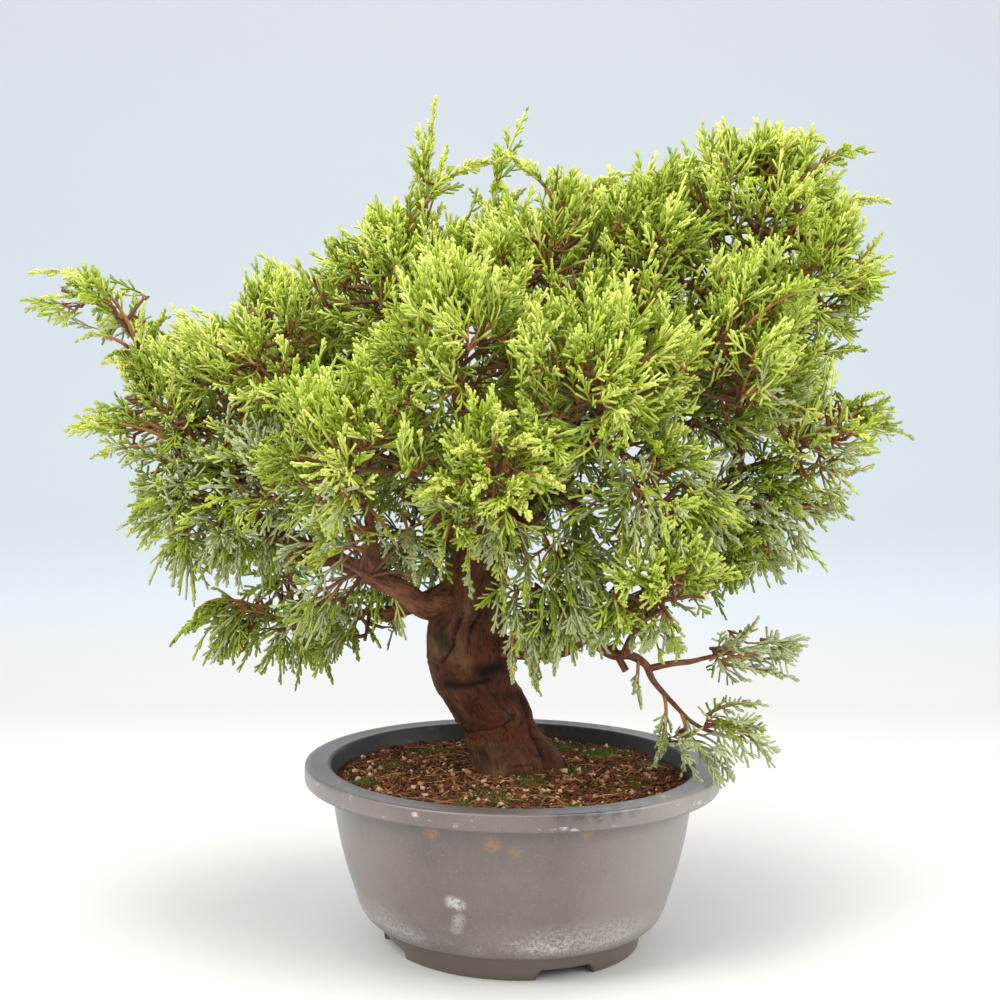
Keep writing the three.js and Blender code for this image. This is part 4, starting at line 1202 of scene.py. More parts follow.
def bark_material(settings):
    """Flaky bark: fibres along the limb over old or young bark, red where a plate came off,
    green with moss and black in the cracks and hollows as painted shade, each by its own mark."""
    skin = Finish("flaky_bark", settings.plate_color, 0.8, 0.3)
    uv = skin.node("UVMap", {}, uv_map="Surface").outputs[0]
    fibres = skin.noise(skin.stretched(uv, (1.0, 0.16, 1.0)), 900, 5, 0.65)
    patches = skin.noise(skin.stretched(uv, (1.0, 0.5, 1.0)), 110, 5, 0.6)
    old = skin.ramp(patches, (0.34, tinted(settings.plate_color, 0.5)), (0.52, settings.plate_color),
                    (0.72, settings.flake_color))
    young = skin.ramp(patches, (0.36, settings.plate_color), (0.5, settings.young_color),
                      (0.7, tinted(settings.young_color, 1.5)))
    color = skin.mixed(skin.mark("young"), old, young)
    color = skin.mixed(skin.times(skin.mark("raw"), 0.85), color, settings.raw_color)
    shade = skin.ramp(fibres, (0.36, (0.42, 0.4, 0.4)), (0.5, (1, 1, 1)))
    color = skin.mixed(1.0, color, shade, "MULTIPLY")
    moss = skin.times(skin.mark("moss"), skin.mask(patches, 0.44, 0.6), True)
    color = skin.mixed(moss, color, settings.moss_color)
    # Painted shade: the cracks and hollows are made nearly black
    color = skin.mixed(skin.mark("hollow"), color, settings.crack_shade_color)
    skin.drive("Base Color", color)
    skin.bump(skin.number("ADD", fibres, skin.times(patches, 0.8)), 0.8, 0.0009)
    return skin.material


def limescale(wall, place, z):
    """How thick grainy limescale is: low on the clean wall, and most on a few spots."""
    crust = wall.mask(wall.noise(place, 520, 6, 0.85), 0.42, 0.66)
    clouds = wall.noise(wall.stretched(place, (1, 1, 0.4), (0.4, 0.9, 0.2)), 9, 2, 0.5)
    where = wall.mask(clouds, 0.42, 0.66, 0.4, 0.03)
    for x, height, radius in LIME:
        where = wall.number("ADD", where, wall.spot(place, x, height, radius))
    low = wall.times(wall.rise(z, *LIME_RISE), wall.rise(z, *CLEAN_WALL))
    return wall.times(wall.times(wall.times(low, crust), where), 0.85, True)


def pot_material(settings):
    """Weathered grey plastic: faint upright streaks and dust, specks, pale scuffs on the lip,
    smudges in front, grainy limescale low on the wall, paler sides as a painted sheen, a painted
    shadow under the lip, and damp with painted shade inside over the soil."""
    wall = Finish("weathered_pot_plastic", settings.color, 0.4, 1.0)
    wall.shader.inputs["Coat Roughness"].default_value = 0.38
    place = wall.place()
    split = wall.node("SeparateXYZ", {0: place})
    z = split.outputs["Z"]
    streaks = wall.noise(wall.stretched(place, (1, 1, 0.06)), 700, 4, 0.6)
    cloud = wall.noise(place, 14, 5, 0.62)
    grain = wall.noise(place, 1100, 3, 0.6)
    color = wall.mixed(wall.mask(cloud, 0.36, 0.7), settings.color, settings.dust_color)
    color = wall.mixed(wall.mask(streaks, 0.4, 0.62, 0.26), color, settings.dust_color)
    color = wall.mixed(wall.mask(grain, 0.62, 0.74, 0.3), color, settings.lime_and_sheen_color)
    color = wall.mixed(limescale(wall, place, z), color, settings.lime_and_sheen_color)
    # Painted sheen: the wall is made paler towards both sides along X, in the limescale's colour
    across = wall.less(split.outputs["X"], float(POT_MIDDLE[0]))
    for near, far, share in PAINTED_SIDE_SHEEN:
        color = wall.mixed(wall.rise(across, near, far, 0.0, share), color, settings.lime_and_sheen_color)
    lip = wall.rise(z, *LIP_TOP)
    scratches = wall.noise(wall.stretched(place, (1, 1, 2.2), (2.2, 0.3, 0)), 60, 6, 0.7)
    scuffs = wall.times(wall.mask(scratches, 0.6, 0.68, 0.7), lip)
    color = wall.mixed(scuffs, color, settings.lime_and_sheen_color)
    ragged = wall.mask(wall.noise(place, 420, 6, 0.8), 0.4, 0.52)
    tones = {"rust": settings.rust_color, "dark": settings.damp_and_shade_color, "pale": settings.lime_and_sheen_color}
    for tone, rows in SMUDGES.items():
        for x, height, radius, share in rows:
            stain = wall.times(wall.spot(place, x, height, radius), ragged)
            color = wall.mixed(wall.times(stain, share), color, tones[tone])
    dirty = wall.times(wall.less(1.0, wall.rise(z, *CLEAN_WALL)), 0.8)
    color = wall.mixed(dirty, color, settings.dirt_color)
    # Painted shadow under the lip: the wall darkens towards the lip's underside
    lip_shadow = wall.times(wall.rise(z, *LIP_SHADOW_BAND, 0.0, 0.55), wall.less(1.0, lip))
    color = wall.mixed(lip_shadow, color, settings.damp_and_shade_color)
    # Damp and painted shade inside the pot, over the soil
    damp = wall.mark("Damp")
    color = wall.mixed(wall.times(damp, 0.85), color, settings.damp_and_shade_color)
    wall.drive("Base Color", color)
    wall.drive("Coat Weight", wall.less(0.5, wall.times(damp, 0.5)))
    wall.drive("Specular IOR Level", wall.less(1.0, wall.times(damp, 0.6)))
    wall.drive("Roughness", wall.rise(cloud, 0.3, 0.7, 0.32, 0.5))
    wall.bump(wall.number("ADD", wall.times(streaks, 0.5), wall.times(grain, 0.5)), 0.3, 0.0004)
    return wall.material


def soil_material(settings):
    """Damp bark litter: dark brown crumbs with tan and green flecks."""
    ground = Finish("potting_soil", settings.soil_color, 0.92, 0.2)
    place = ground.place()
    crumbs = ground.noise(place, 330, 6, 0.68)
    color = ground.ramp(
        crumbs, (0.33, tinted(settings.soil_color, 0.14)), (0.5, settings.soil_color),
        (0.6, tinted(settings.soil_color, 1.5)), (0.72, settings.grit_color))
    green = ground.mask(ground.noise(place, 42, 4, 0.6), 0.55, 0.7, 0.55)
    ground.drive("Base Color", ground.mixed(green, color, settings.moss_color))
    ground.bump(crumbs, 1.0, 0.002)
    return ground.material


# Bark

def limb_frames(limb, rings):
    """Ring centres along a limb and two directions across it there: the axis that the limb runs
    along least, and the one at right angles to both."""
    t = np.linspace(0, 1, rings)
    ways = limb.way(t)
    axis = np.eye(3)[np.abs(ways).max(0).argmin()]
    first = unit(axis - (ways @ axis)[:, None] * ways)
    return t, limb.at(t), first, np.cross(ways, first)


def segment_far(turn, height, radius, ends):
    """Distance on the bark from each spot to the line between two places on it, which are given
    by height and by degrees round the limb: the spot's nearest place on the line counts."""
    z0, turn0, z1, turn1 = ends
    ax, bx = np.radians(turn0) * radius, np.radians(turn1) * radius
    px, pz = turn * radius - ax, height - z0
    dx, dz = bx - ax, z1 - z0
    t = np.clip((px * dx + pz * dz) / (dx * dx + dz * dz + 1e-9), 0, 1)
    return np.hypot(px - t * dx, pz - t * dz)


def limb_surface(limb, rings, sides, relief, seed, is_trunk):
    """A closed tube round a limb with bark relief: flat plates with stepped edges where a
    smooth noise is cut off, fibres along the limb, narrow cracks where another noise crosses
    zero, and on the trunk its own cracks, hollows and torn places."""
    t, centres, first, second = limb_frames(limb, rings)
    turn, out = turns(sides), ring_ways(first, second, sides)
    radius = limb.radius(t)[:, None] * np.ones(sides)
    young = 1 - smooth_step(*YOUNG_RADII, radius)
    along = np.append(0, np.cumsum(steps(centres)))
    cells = max(4, int(round(float(limb.radii.max()) * BARK_CELLS)))
    u = np.broadcast_to(turn / (2 * math.pi), radius.shape)
    v = np.broadcast_to(along[:, None], radius.shape)

    def grain(finer, long, number, shift=0.0):
        """Noise of cells that are long along the limb, and finer times as many round it."""
        return value_noise(u * cells * finer + shift, v / long, seed + number, cells * finer)

    swell, wander = grain(1, 24, 0), grain(1, 9, 4)
    plate = smooth_step(-0.16, 0.04, grain(2, 13, 1, 0.9 * wander))
    chip = smooth_step(0.1, 0.24, grain(5, 6, 5, wander))
    fibre = grain(11, 8, 2, 1.2 * wander)
    crack = np.exp(-(grain(2, 26, 3, 0.6 * wander) / 0.05) ** 2)
    bump = relief * np.minimum(radius / 16, 1.25) * (
        0.8 * swell + 0.42 * plate + 0.25 * chip + 0.24 * fibre - 0.55 * crack)
    # How far the bark is painted black as shade in its cracks and hollows
    hollow = 0.75 * crack
    raw = 0.5 * (1 - plate) * smooth_step(0.0, 0.6, swell)
    height = centres[:, 2:] * np.ones(sides)
    if is_trunk:
        edge = 1.1 * value_noise(u * 40, v / 4, seed + 6, 40)
        edge = edge + 0.6 * value_noise(u * 96, v / 1.6, seed + 7, 96)
        for kind, *ends, half, depth in TRUNK_MARKS:
            torn = kind == "torn"
            far = segment_far(turn, height, radius, ends) + edge * (0.9 if torn else 0.35)
            flat = 1 - smooth_step(half - 0.5, half + 0.5, far)
            soft = np.exp(-(far / half) ** 2)
            bump = bump - depth * (flat if torn else soft)
            hollow = np.maximum(hollow, PAINTED_SHADE_BY_KIND[kind] * soft)
            raw = np.maximum(raw, flat) if torn else raw
        lobes = 0.5 + 0.5 * np.cos(3 * np.arctan2(out[..., 1], out[..., 0]))
        fade = np.exp(-np.maximum(0, height - SOIL_TOP) / ROOT_FADE)
        radius = radius * (1 + ROOT_SWELL * fade * (lobes + 0.75 * lobes ** 3))
    moss = np.clip(-out[..., 0] * 0.8 - out[..., 1] * 0.2 + 0.1, 0, 1) * 0.1
    if is_trunk:
        moss = moss * (1 + 3 * (1 - smooth_step(*MOSSY_BELOW, height)))
    spots = centres[:, None] + (radius + bump)[..., None] * out
    return spots, centres, along, {"hollow": hollow, "raw": raw, "young": young, "moss": moss}


def bark_piece(name, rows, material):
    """Several limb surfaces as one piece of triangles with its UV map and marks. Each end is
    closed by a fan of triangles to the middle of its ring."""
    spots, faces, uvs, marks = [], [], [], []
    offset = 0
    for limb, rings, sides, *rest in rows:
        surface, centres, along, own = limb_surface(limb, rings, sides, *rest)
        quads, places = grid_faces(rings, sides)
        count = rings * sides
        foot, top = fan(0, sides, count, True), fan(count - sides, sides, count + 1)
        girth = 2 * math.pi * float(limb.radii.mean()) * MM
        uv = np.stack([places[..., 1] / sides * girth, along[places[..., 0]] * MM], -1)
        uvs.append(np.concatenate([halves(uv), np.zeros((2 * sides, 3, 2))]))
        faces.append(np.concatenate([halves(quads), foot, top]) + offset)
        spots.append(np.vstack([surface.reshape(-1, 3), centres[0], centres[-1]]))
        marks.append({label: np.append(values.ravel(), [0, 0]) for label, values in own.items()})
        offset += count + 2
    marks = {label: np.concatenate([own[label] for own in marks]) for label in marks[0]}
    piece = mesh_piece(name, placed(np.vstack(spots)), np.concatenate(faces), [material],
                       uv=np.concatenate(uvs).reshape(-1, 2), marks=marks)
    return piece


# Pot

def oval(radius, turn):
    """X and Y of a turned profile's points, narrowed to the oval and turned about Z."""
    x, y = radius * np.cos(turn), OVAL * radius * np.sin(turn)
    return (x * math.cos(POT_TURN) - y * math.sin(POT_TURN),
            x * math.sin(POT_TURN) + y * math.cos(POT_TURN))


def pot_profile():
    """Radius and height round the whole section, closed on itself: from the drain hole along
    the underside, the foot, the wall, the lip and back down inside to the floor. Each row is a
    bend by its ends, the point between that it is drawn to, and its number of points."""
    foot, foot_in = FOOT_RADIUS, FOOT_RADIUS - FOOT_BAND
    rim, lip_in = RIM_RADIUS, RIM_RADIUS - LIP_WIDTH
    top, under = POT_HEIGHT, POT_HEIGHT - LIP_DEPTH
    wall, wall_in = WALL_TOP_RADIUS, WALL_TOP_RADIUS - WALL
    low, low_height = WALL_LOW
    middle, middle_height = WALL_BEND
    rows = [
        ([DRAIN_RADIUS, FLOOR_UNDER], [40, FLOOR_UNDER], [foot_in - 1, FLOOR_UNDER], 8),
        ([foot_in, FLOOR_UNDER - 0.6], [foot_in, 3], [foot_in, 0.8], 4),
        ([foot_in + 0.2, 0.1], [foot_in + 3, 0], [foot - 2, 0], 4),
        ([foot - 1.2, 0.1], [foot - 0.4, 0.3], [foot - 0.2, 1.4], 4),
        ([foot - 0.1, 4], [foot, 9], [foot, 12.2], 5),
        ([foot + 0.4, 13.2], [foot + 3, 13.7], [foot + 6.5, 14.5], 4),
        ([foot + 8.6, 15.4], [low - 3, 18.5], [low, low_height], 9),
        ([low + 0.4, low_height + 2], [middle, middle_height], [wall - 0.4, under - 1.4], 22),
        ([wall, under - 0.4], [wall + 0.4, under], [wall + 1.4, under], 3),
        ([wall + 6, under - 0.1], [rim - 7, under], [rim - 1.6, under], 4),
        ([rim - 0.9, under + 0.1], [rim - 0.1, under + 0.3], [rim, under + 1.4], 4),
        ([rim + 0.1, under + 4], [rim, under + 6], [rim - 0.1, top - 1.9], 4),
        ([rim - 0.35, top - 0.8], [rim - 0.8, top - 0.1], [rim - 2, top], 4),
        ([rim - 5, top - 0.15], [rim - 9, top - 0.5], [lip_in + 2.2, top - 0.2], 6),
        ([lip_in + 1.1, top - 0.2], [lip_in + 0.1, top - 0.4], [lip_in - 0.3, top - 1.8], 4),
        ([lip_in - 1.2, top - 5], [lip_in - 2.4, under + 2], [wall_in, under], 5),
        ([wall_in - 0.4, under - 3], [middle - WALL, middle_height], [low - WALL, low_height], 12),
        ([low - 1 - WALL, low_height - 3], [90 - WALL, 15], [FLOOR_EDGE - WALL, FLOOR_TOP], 6),
        ([60, FLOOR_TOP], [40, FLOOR_TOP], [DRAIN_RADIUS, FLOOR_TOP], 5),
    ]
    curves = [bend(*np.array(points, float), np.linspace(0, 1, many)) for *points, many in rows]
    return np.vstack(curves)


def pot_mesh(material, segments=288):
    """The section carried round the oval. Where the foot ring has a gap, whatever is lower
    than the gap's height is raised to it."""
    profile = pot_profile()
    rings = len(profile)
    turn = turns(segments)
    radius = profile[:, :1] * np.ones(segments)
    height = profile[:, 1:] * np.ones(segments)
    from_gap = np.abs((turn / (math.pi / 2)) % 1 - 0.5) * (math.pi / 2) * FOOT_RADIUS
    in_gap = 1 - smooth_step(FOOT_GAP_WIDTH / 2 - 1.2, FOOT_GAP_WIDTH / 2 + 1.2, from_gap)
    height = np.maximum(height, FOOT_GAP_HEIGHT * in_gap * (radius > FOOT_RADIUS - FOOT_BAND - 2))
    u = turn / (2 * math.pi)
    wobble = 0.22 * value_noise(np.broadcast_to(u * 9, radius.shape), height / 45, 71, 9)
    radius = radius + wobble * smooth_step(20, 60, height)
    x, y = oval(radius, turn)
    spots = np.stack([x, y, height], -1).reshape(-1, 3)
    faces, _ = grid_faces(rings, segments, closed=True)
    past_top = np.arange(rings) > profile[:, 1].argmax()
    # The inside from the lip's top down is marked for damp and painted shade: fully on the inner wall,
    # less on the lip's inner top
    damp = np.where(profile[:, 0] < RIM_RADIUS - LIP_WIDTH + 1.5, 1.0, 0.3) * past_top
    piece = mesh_piece("pot_shell", placed(spots), faces[:, ::-1], [material],
                       marks={"Damp": np.repeat(damp, segments)})
    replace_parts(piece, "pot")


# Soil

def off_mound(x, y):
    """X and Y from the middle of the mound, where the trunk stands."""
    return x - MOUND[0], y - MOUND[1]


def soil_height(x, y):
    """Height of the soil: flat round the trunk, lower at the rim, with soft humps."""
    fall = SOIL_FALL * smooth_step(SOIL_FLAT_RADIUS - 15, SOIL_RADIUS, np.hypot(x, y))
    a, b = off_mound(x, y)
    mound = MOUND_HEIGHT * np.exp(-((a / MOUND_SPREAD[0]) ** 2 + (b / MOUND_SPREAD[1]) ** 2))
    humps = 1.1 * value_noise(x / 21 + 50, y / 21 + 50, 5) + 0.6 * value_noise(x / 7 + 50, y / 7 + 50, 6)
    return SOIL_TOP - fall + mound + humps * 0.8


def soil_mesh(material, rings=110, segments=240):
    """A disc of soil in the oval, closed by a side and a flat bottom under it."""
    turn = turns(segments)
    radius = np.linspace(0.6, SOIL_RADIUS, rings)[:, None] * np.ones(segments)
    x, y = oval(radius, turn)
    crumbs = 0.5 * value_noise(x / 2.1 + 90, y / 2.1 + 90, 8)
    crumbs = crumbs + 0.35 * value_noise(x / 1.1 + 90, y / 1.1 + 90, 9)
    z = soil_height(x, y) + crumbs
    side_x, side_y = oval(np.full(segments, SOIL_RADIUS - 4), turn)
    side = np.stack([side_x, side_y, np.full(segments, SOIL_UNDER)], -1)
    centre = [[0, 0, float(z[0].mean())], [0, 0, SOIL_UNDER]]
    spots = np.vstack([np.stack([x, y, z], -1).reshape(-1, 3), side, centre])
    quads, _ = grid_faces(rings + 1, segments)
    last = rings * segments
    cap = fan(0, segments, last + segments)
    bottom = fan(last, segments, last + segments + 1, True)
    faces = np.concatenate([halves(quads)[:, ::-1], cap, bottom])
    piece = mesh_piece("soil_bed", placed(spots), faces, [material])
    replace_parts(piece, "soil")


def soil_places(count, rng, margin=3.0):
    """Places scattered evenly over the soil, clear of the trunk."""
    far = (SOIL_RADIUS - margin) * np.sqrt(rng.random(3 * count))
    x, y = oval(far, rng.uniform(0, 2 * math.pi, 3 * count))
    free = np.hypot(*off_mound(x, y)) > TRUNK_CLEAR
    x, y = x[free][:count], y[free][:count]
    return np.stack([x, y, soil_height(x, y)], 1)


def pebbles(places, sizes, flat, rng):
    """Rough stones of eight faces: the six corners of an octahedron, pushed about and turned."""
    corners = np.concatenate([np.eye(3), -np.eye(3)])[[0, 3, 1, 4, 2, 5]]
    faces = np.array([
        [0, 2, 4], [2, 1, 4], [1, 3, 4], [3, 0, 4], [2, 0, 5], [1, 2, 5], [3, 1, 5], [0, 3, 5]])
    count = len(places)
    shape = corners * rng.uniform(0.7, 1.25, (count, 6, 1)) + rng.uniform(-0.22, 0.22, (count, 6, 3))
    sides = np.stack([np.ones(count), rng.uniform(0.55, 0.95, count), flat * np.ones(count)], 1)
    shape = shape * sides[:, None]
    a = unit(rng.normal(size=(count, 3)) * [1, 1, 0.35])
    b = unit(np.cross(a, rng.normal(size=(count, 3)) * [0.4, 0.4, 1]))
    turned = shape @ np.stack([a, b, np.cross(a, b)], 1)
    spots = places[:, None] + turned * sizes[:, None, None]
    every = faces[None] + 6 * np.arange(count)[:, None, None]
    return spots.reshape(-1, 3), every.reshape(-1, 3)


def drawn(mix, many, faces, rng):
    """The material number of each face of many like things, drawn by the shares in mix."""
    return np.repeat(rng.choice(list(mix), many, p=list(mix.values())), len(faces) // many)


def grit(count, rng):
    """Grains from 0.5 to 3.2 mm, most of them small, partly sunk."""
    places = soil_places(count, rng)
    sizes = 0.5 + 2.7 * rng.random(len(places)) ** 3.4
    spots, faces = pebbles(places + UP * sizes[:, None] * 0.25, sizes, 0.75, rng)
    return spots, faces, drawn(GRIT_MIX, len(places), faces, rng)


def bark_litter(count, rng):
    """Flat flakes of bark."""
    places = soil_places(count, rng)
    sizes = rng.uniform(0.6, 2.4, len(places))
    spots, faces = pebbles(places + UP * 0.5, sizes, 0.22, rng)
    return spots, faces, drawn(LITTER_MIX, len(places), faces, rng)


def root_fibres(count, rng):
    """Thin bent fibres on the soil: each follows its height and arches a little over it."""
    start = soil_places(count, rng, 12)
    many = len(start)
    heading = rng.uniform(0, 2 * math.pi, many)
    way = np.stack([np.cos(heading), np.sin(heading), np.zeros(many)], 1)
    long = rng.uniform(7, 26, many)[:, None]
    bow = np.cross(way, UP) * rng.uniform(-0.3, 0.3, (many, 1)) * long
    tips = start + way * long
    control = (start[:, None], (start + way * long / 2 + bow)[:, None], tips[:, None])
    centres = bend(*control, np.linspace(0, 0.9, 5))
    arch = rng.uniform(0, 1.2, (many, 1)) * [0.2, 1, 1.4, 1, 0.4]
    centres[..., 2] = soil_height(centres[..., 0], centres[..., 1]) + 0.5 + arch
    tips[:, 2] = soil_height(tips[:, 0], tips[:, 1]) + 0.4
    radii = rng.uniform(0.22, 0.5, (many, 1)) * [1, 1, 0.9, 0.8, 0.6]
    spots, faces, _ = bundle(centres, radii, np.tile(UP, (many, 1)), tips)
    return spots, faces, drawn(FIBRE_MIX, many, faces, rng)


def moss_tufts(count, rng):
    """Moss as patches of upright three-sided points, thicker in the middle of each patch."""
    flat = np.vstack([
        np.array(middle, float) + rng.normal(size=(int(count * share), 2)) * half * 0.5
        for middle, half, share in MOSS_PATCHES])
    x, y = flat.T
    across = x * math.cos(POT_TURN) + y * math.sin(POT_TURN)
    deep = (-x * math.sin(POT_TURN) + y * math.cos(POT_TURN)) / OVAL
    free = (np.hypot(across, deep) < SOIL_RADIUS - 3) & (np.hypot(*off_mound(x, y)) > TRUNK_CLEAR - 1)
    x, y = x[free], y[free]
    start = np.stack([x, y, soil_height(x, y) - 0.4], 1)
    way = unit(UP + 0.55 * rng.normal(size=start.shape))
    long = rng.uniform(1.2, 3.2, len(start))[:, None]
    centres = np.stack([start, start + way * long * 0.6], 1)
    radii = rng.uniform(0.22, 0.42, (len(start), 1)) * [1.0, 0.8]
    spots, faces, _ = bundle(centres, radii, beside(way, rng), start + way * long)
    return spots, faces, drawn(MOSS_MIX, len(start), faces, rng)


def scattered_soil(settings, materials):
    """Grit, bark litter, root fibres and moss on the soil, joined into one piece."""
    rng = np.random.default_rng(SEED + 5)
    spots, faces, kinds = joined([
        grit(settings.grit_count, rng), bark_litter(settings.litter_count, rng),
        root_fibres(settings.fibre_count, rng), moss_tufts(settings.moss_count, rng)])
    piece = mesh_piece("soil_litter", placed(spots), faces, materials, kinds=kinds)


# Settings that a user would change

def color_field(name, words, default):
    return bpy.props.FloatVectorProperty(
        name=name, description=words, subtype="COLOR", size=3, min=0, max=1, default=default)


def count_field(name, words, default):
    return bpy.props.IntProperty(name=name, description=words, default=default, min=0, max=20000)


def length_field(name, words, default, most):
    return bpy.props.FloatProperty(
        name=name, description=words, default=default, min=0, max=most, unit="LENGTH")


class PotSettings(bpy.types.PropertyGroup):
    color: color_field("Plastic", "Colour of the pot's plastic", (0.076, 0.0535, 0.052))
    dust_color: color_field("Dust", "Colour of dust in the streaks", (0.16, 0.12, 0.104))
    # Also the colour of the painted sheen on the pot's sides
    lime_and_sheen_color: color_field("Limescale", "Colour of limescale and scuffs", (0.66, 0.65, 0.63))
    rust_color: color_field("Rust", "Colour of the rusty spots", (0.38, 0.16, 0.05))
    dirt_color: color_field("Dirt", "Colour of the dirt on the foot", (0.08, 0.05, 0.032))
    # The colour of the damp and painted shade inside over the soil, of the painted shadow under the lip
    # and of the dark smudges
    damp_and_shade_color: color_field("Damp", "Colour of the damp inside over the soil", (0.022, 0.022, 0.02))


class SoilSettings(bpy.types.PropertyGroup):
    soil_color: color_field("Soil", "Colour of damp soil", (0.13, 0.046, 0.017))
    grit_color: color_field("Grit", "Colour of the pale grit", (0.66, 0.47, 0.29))
    moss_color: color_field("Moss", "Colour of moss", (0.07, 0.12, 0.02))
    grit_count: count_field("Grit", "Number of grit grains", 1900)
    litter_count: count_field("Litter", "Number of bark flakes", 7200)
    fibre_count: count_field("Fibres", "Number of root fibres", 460)
    moss_count: count_field("Moss", "Number of moss points", 8400)


class BarkSettings(bpy.types.PropertyGroup):
    plate_color: color_field("Plates", "Colour of old bark", (0.125, 0.042, 0.018))
    flake_color: color_field("Flakes", "Colour of pale flakes", (0.25, 0.112, 0.056))
    young_color: color_field("Young bark", "Colour of the boughs' bark", (0.25, 0.1, 0.052))
    raw_color: color_field("Raw bark", "Colour where a plate came off", (0.15, 0.04, 0.016))
    # Painted shade deep in the cracks and hollows
    crack_shade_color: color_field("Cracks", "Colour deep in the cracks", (0.012, 0.007, 0.005))
    moss_color: color_field("Moss", "Colour of moss on the bark", (0.085, 0.1, 0.028))
    relief: length_field("Relief", "Depth of the plates on a thick limb", 0.001, 0.01)


class FoliageSettings(bpy.types.PropertyGroup):
    tip_color: color_field("Tips", "Colour of new tips", (0.64, 0.72, 0.14))
    bright_color: color_field("Bright", "Colour of sunlit shoots", (0.44, 0.55, 0.05))
    mid_color: color_field("Middle", "Colour of most shoots", (0.29, 0.385, 0.032))
    # Partly painted shade inside the crown
    deep_color: color_field("Deep", "Colour of shoots inside the crown", (0.15, 0.2, 0.026))
    # Partly painted shade on the undersides and low masses
    grey_color: color_field("Grey", "Colour of undersides", (0.305, 0.355, 0.145))
    pale_color: color_field("Pale", "Colour of the tips of undersides", (0.48, 0.53, 0.25))
    twig_color: color_field("Twigs", "Colour of old twigs", (0.18, 0.083, 0.05))
    young_color: color_field("Young twigs", "Colour of young twigs", (0.4, 0.17, 0.065))
    density: bpy.props.FloatProperty(
        name="Density", description="Number of twigs over the usual", default=1.0, min=0.1, max=2)
    spray_length: length_field("Spray", "Length of a spray", 0.0215, 0.05)
    shoot_width: length_field("Shoot", "Thickness of a shoot", 0.0016, 0.005)


class StageSettings(bpy.types.PropertyGroup):
    floor_color: color_field("Floor", "Colour of the floor", (0.78, 0.765, 0.735))
    wall_color: color_field("Wall", "Colour of the backdrop behind the crown", (0.88, 0.95, 0.985))
    top_color: color_field("Wall top", "Colour of the backdrop at the top", (0.93, 0.94, 0.985))
    sky_color: color_field("Sky", "Colour of the light all round", (0.95, 0.97, 1.0))
    sky_strength: bpy.props.FloatProperty(
        name="Sky strength", description="Strength of the light all round", default=0.76, min=0, max=10)
    key_power: bpy.props.FloatProperty(
        name="Key light", description="Power of the main soft light",
        default=24.5, min=0, max=1000, unit="POWER")
    lens: bpy.props.FloatProperty(
        name="Lens", description="Focal length of the camera", default=54.72, min=10, max=300)


# Operators

class BONSAI_OT_stage(bpy.types.Operator):
    """Adds the pale floor, the soft lights and the camera"""
    bl_idname = "bonsai.stage"
    bl_label = "Floor, lights and camera"

    def execute(self, context):
        settings = context.scene.bonsai_stage
        floor_and_backdrop(settings)
        lights(settings)
        camera(settings)
        return {"FINISHED"}


class BONSAI_OT_pot(bpy.types.Operator):
    """Adds the oval plastic pot"""
    bl_idname = "bonsai.pot"
    bl_label = "Pot"

    def execute(self, context):
        pot_mesh(pot_material(context.scene.bonsai_pot))
        return {"FINISHED"}


class BONSAI_OT_soil(bpy.types.Operator):
    """Adds the soil with its grit, litter, fibres and moss"""
    bl_idname = "bonsai.soil"
    bl_label = "Soil"

    def execute(self, context):
        settings = context.scene.bonsai_soil
        soil_mesh(soil_material(settings))
        colors = {
            "grit_tan": settings.grit_color, **STREWN,
            "moss_green": settings.moss_color, "moss_bright": tinted(settings.moss_color, 1.7)}
        scattered_soil(settings, [paint(name, color, 0.85, 0.25) for name, color in colors.items()])
        return {"FINISHED"}


class BONSAI_OT_trunk(bpy.types.Operator):
    """Adds the trunk and leader with bark relief"""
    bl_idname = "bonsai.trunk"
    bl_label = "Trunk"

    def execute(self, context):
        settings = context.scene.bonsai_bark
        limbs = limbs_and_masses()[0]
        rows = [(limbs["trunk"], 360, 120, settings.relief / MM, SEED, True)]
        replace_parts(bark_piece("trunk_bark", rows, bark_material(settings)), "trunk")
        return {"FINISHED"}


class BONSAI_OT_boughs(bpy.types.Operator):
    """Adds the boughs and their pruned stubs with bark relief"""
    bl_idname = "bonsai.boughs"
    bl_label = "Boughs"

    def execute(self, context):
        settings = context.scene.bonsai_bark
        limbs = limbs_and_masses()[0]
        rows = []
        for number, (name, *_) in enumerate(BOUGHS):
            limb = limbs[name]
            thinner = 1 - BOUGH_THINNER * np.linspace(0, 1, len(limb.radii)) ** 2
            limb = Limb(limb.points, limb.radii * thinner)
            rings = int(limb.length() / 1.5) + 4
            sides = 32 if limb.radii[0] > THICK_BOUGH else 18
            rows.append((limb, rings, sides, 1.3 * settings.relief / MM, SEED + 10 * number, False))
        for number, (foot, tip, radius) in enumerate(STUBS):
            middle = (np.array(foot) + tip) / 2
            stub = Limb([foot, middle - UP * 0.1 * radius, tip], [radius, 0.9 * radius, 0.94 * radius])
            rows.append((stub, 16, 20, 1.6 * settings.relief / MM, SEED + 7 * number, False))
        piece = bark_piece("bough_bark", rows, bark_material(settings))
        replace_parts(piece, *[row[0] for row in BOUGHS])
        return {"FINISHED"}


class BONSAI_OT_twigs(bpy.types.Operator):
    """Adds the stems, twigs and young twiglets inside the crown"""
    bl_idname = "bonsai.twigs"
    bl_label = "Twigs"

    def execute(self, context):
        settings = context.scene.bonsai_foliage
        crown = crown_of(settings)
        materials = [paint("old_twig", settings.twig_color, 0.85, 0.25),
                     paint("young_twig", settings.young_color, 0.7, 0.3)]
        grown = [one for group in crown.values() for one in group]
        spots, faces, kinds = joined([part for one in grown for part in twig_parts(one)])
        piece = mesh_piece("crown_twigs", placed(spots), faces, materials, kinds=kinds)
        return {"FINISHED"}


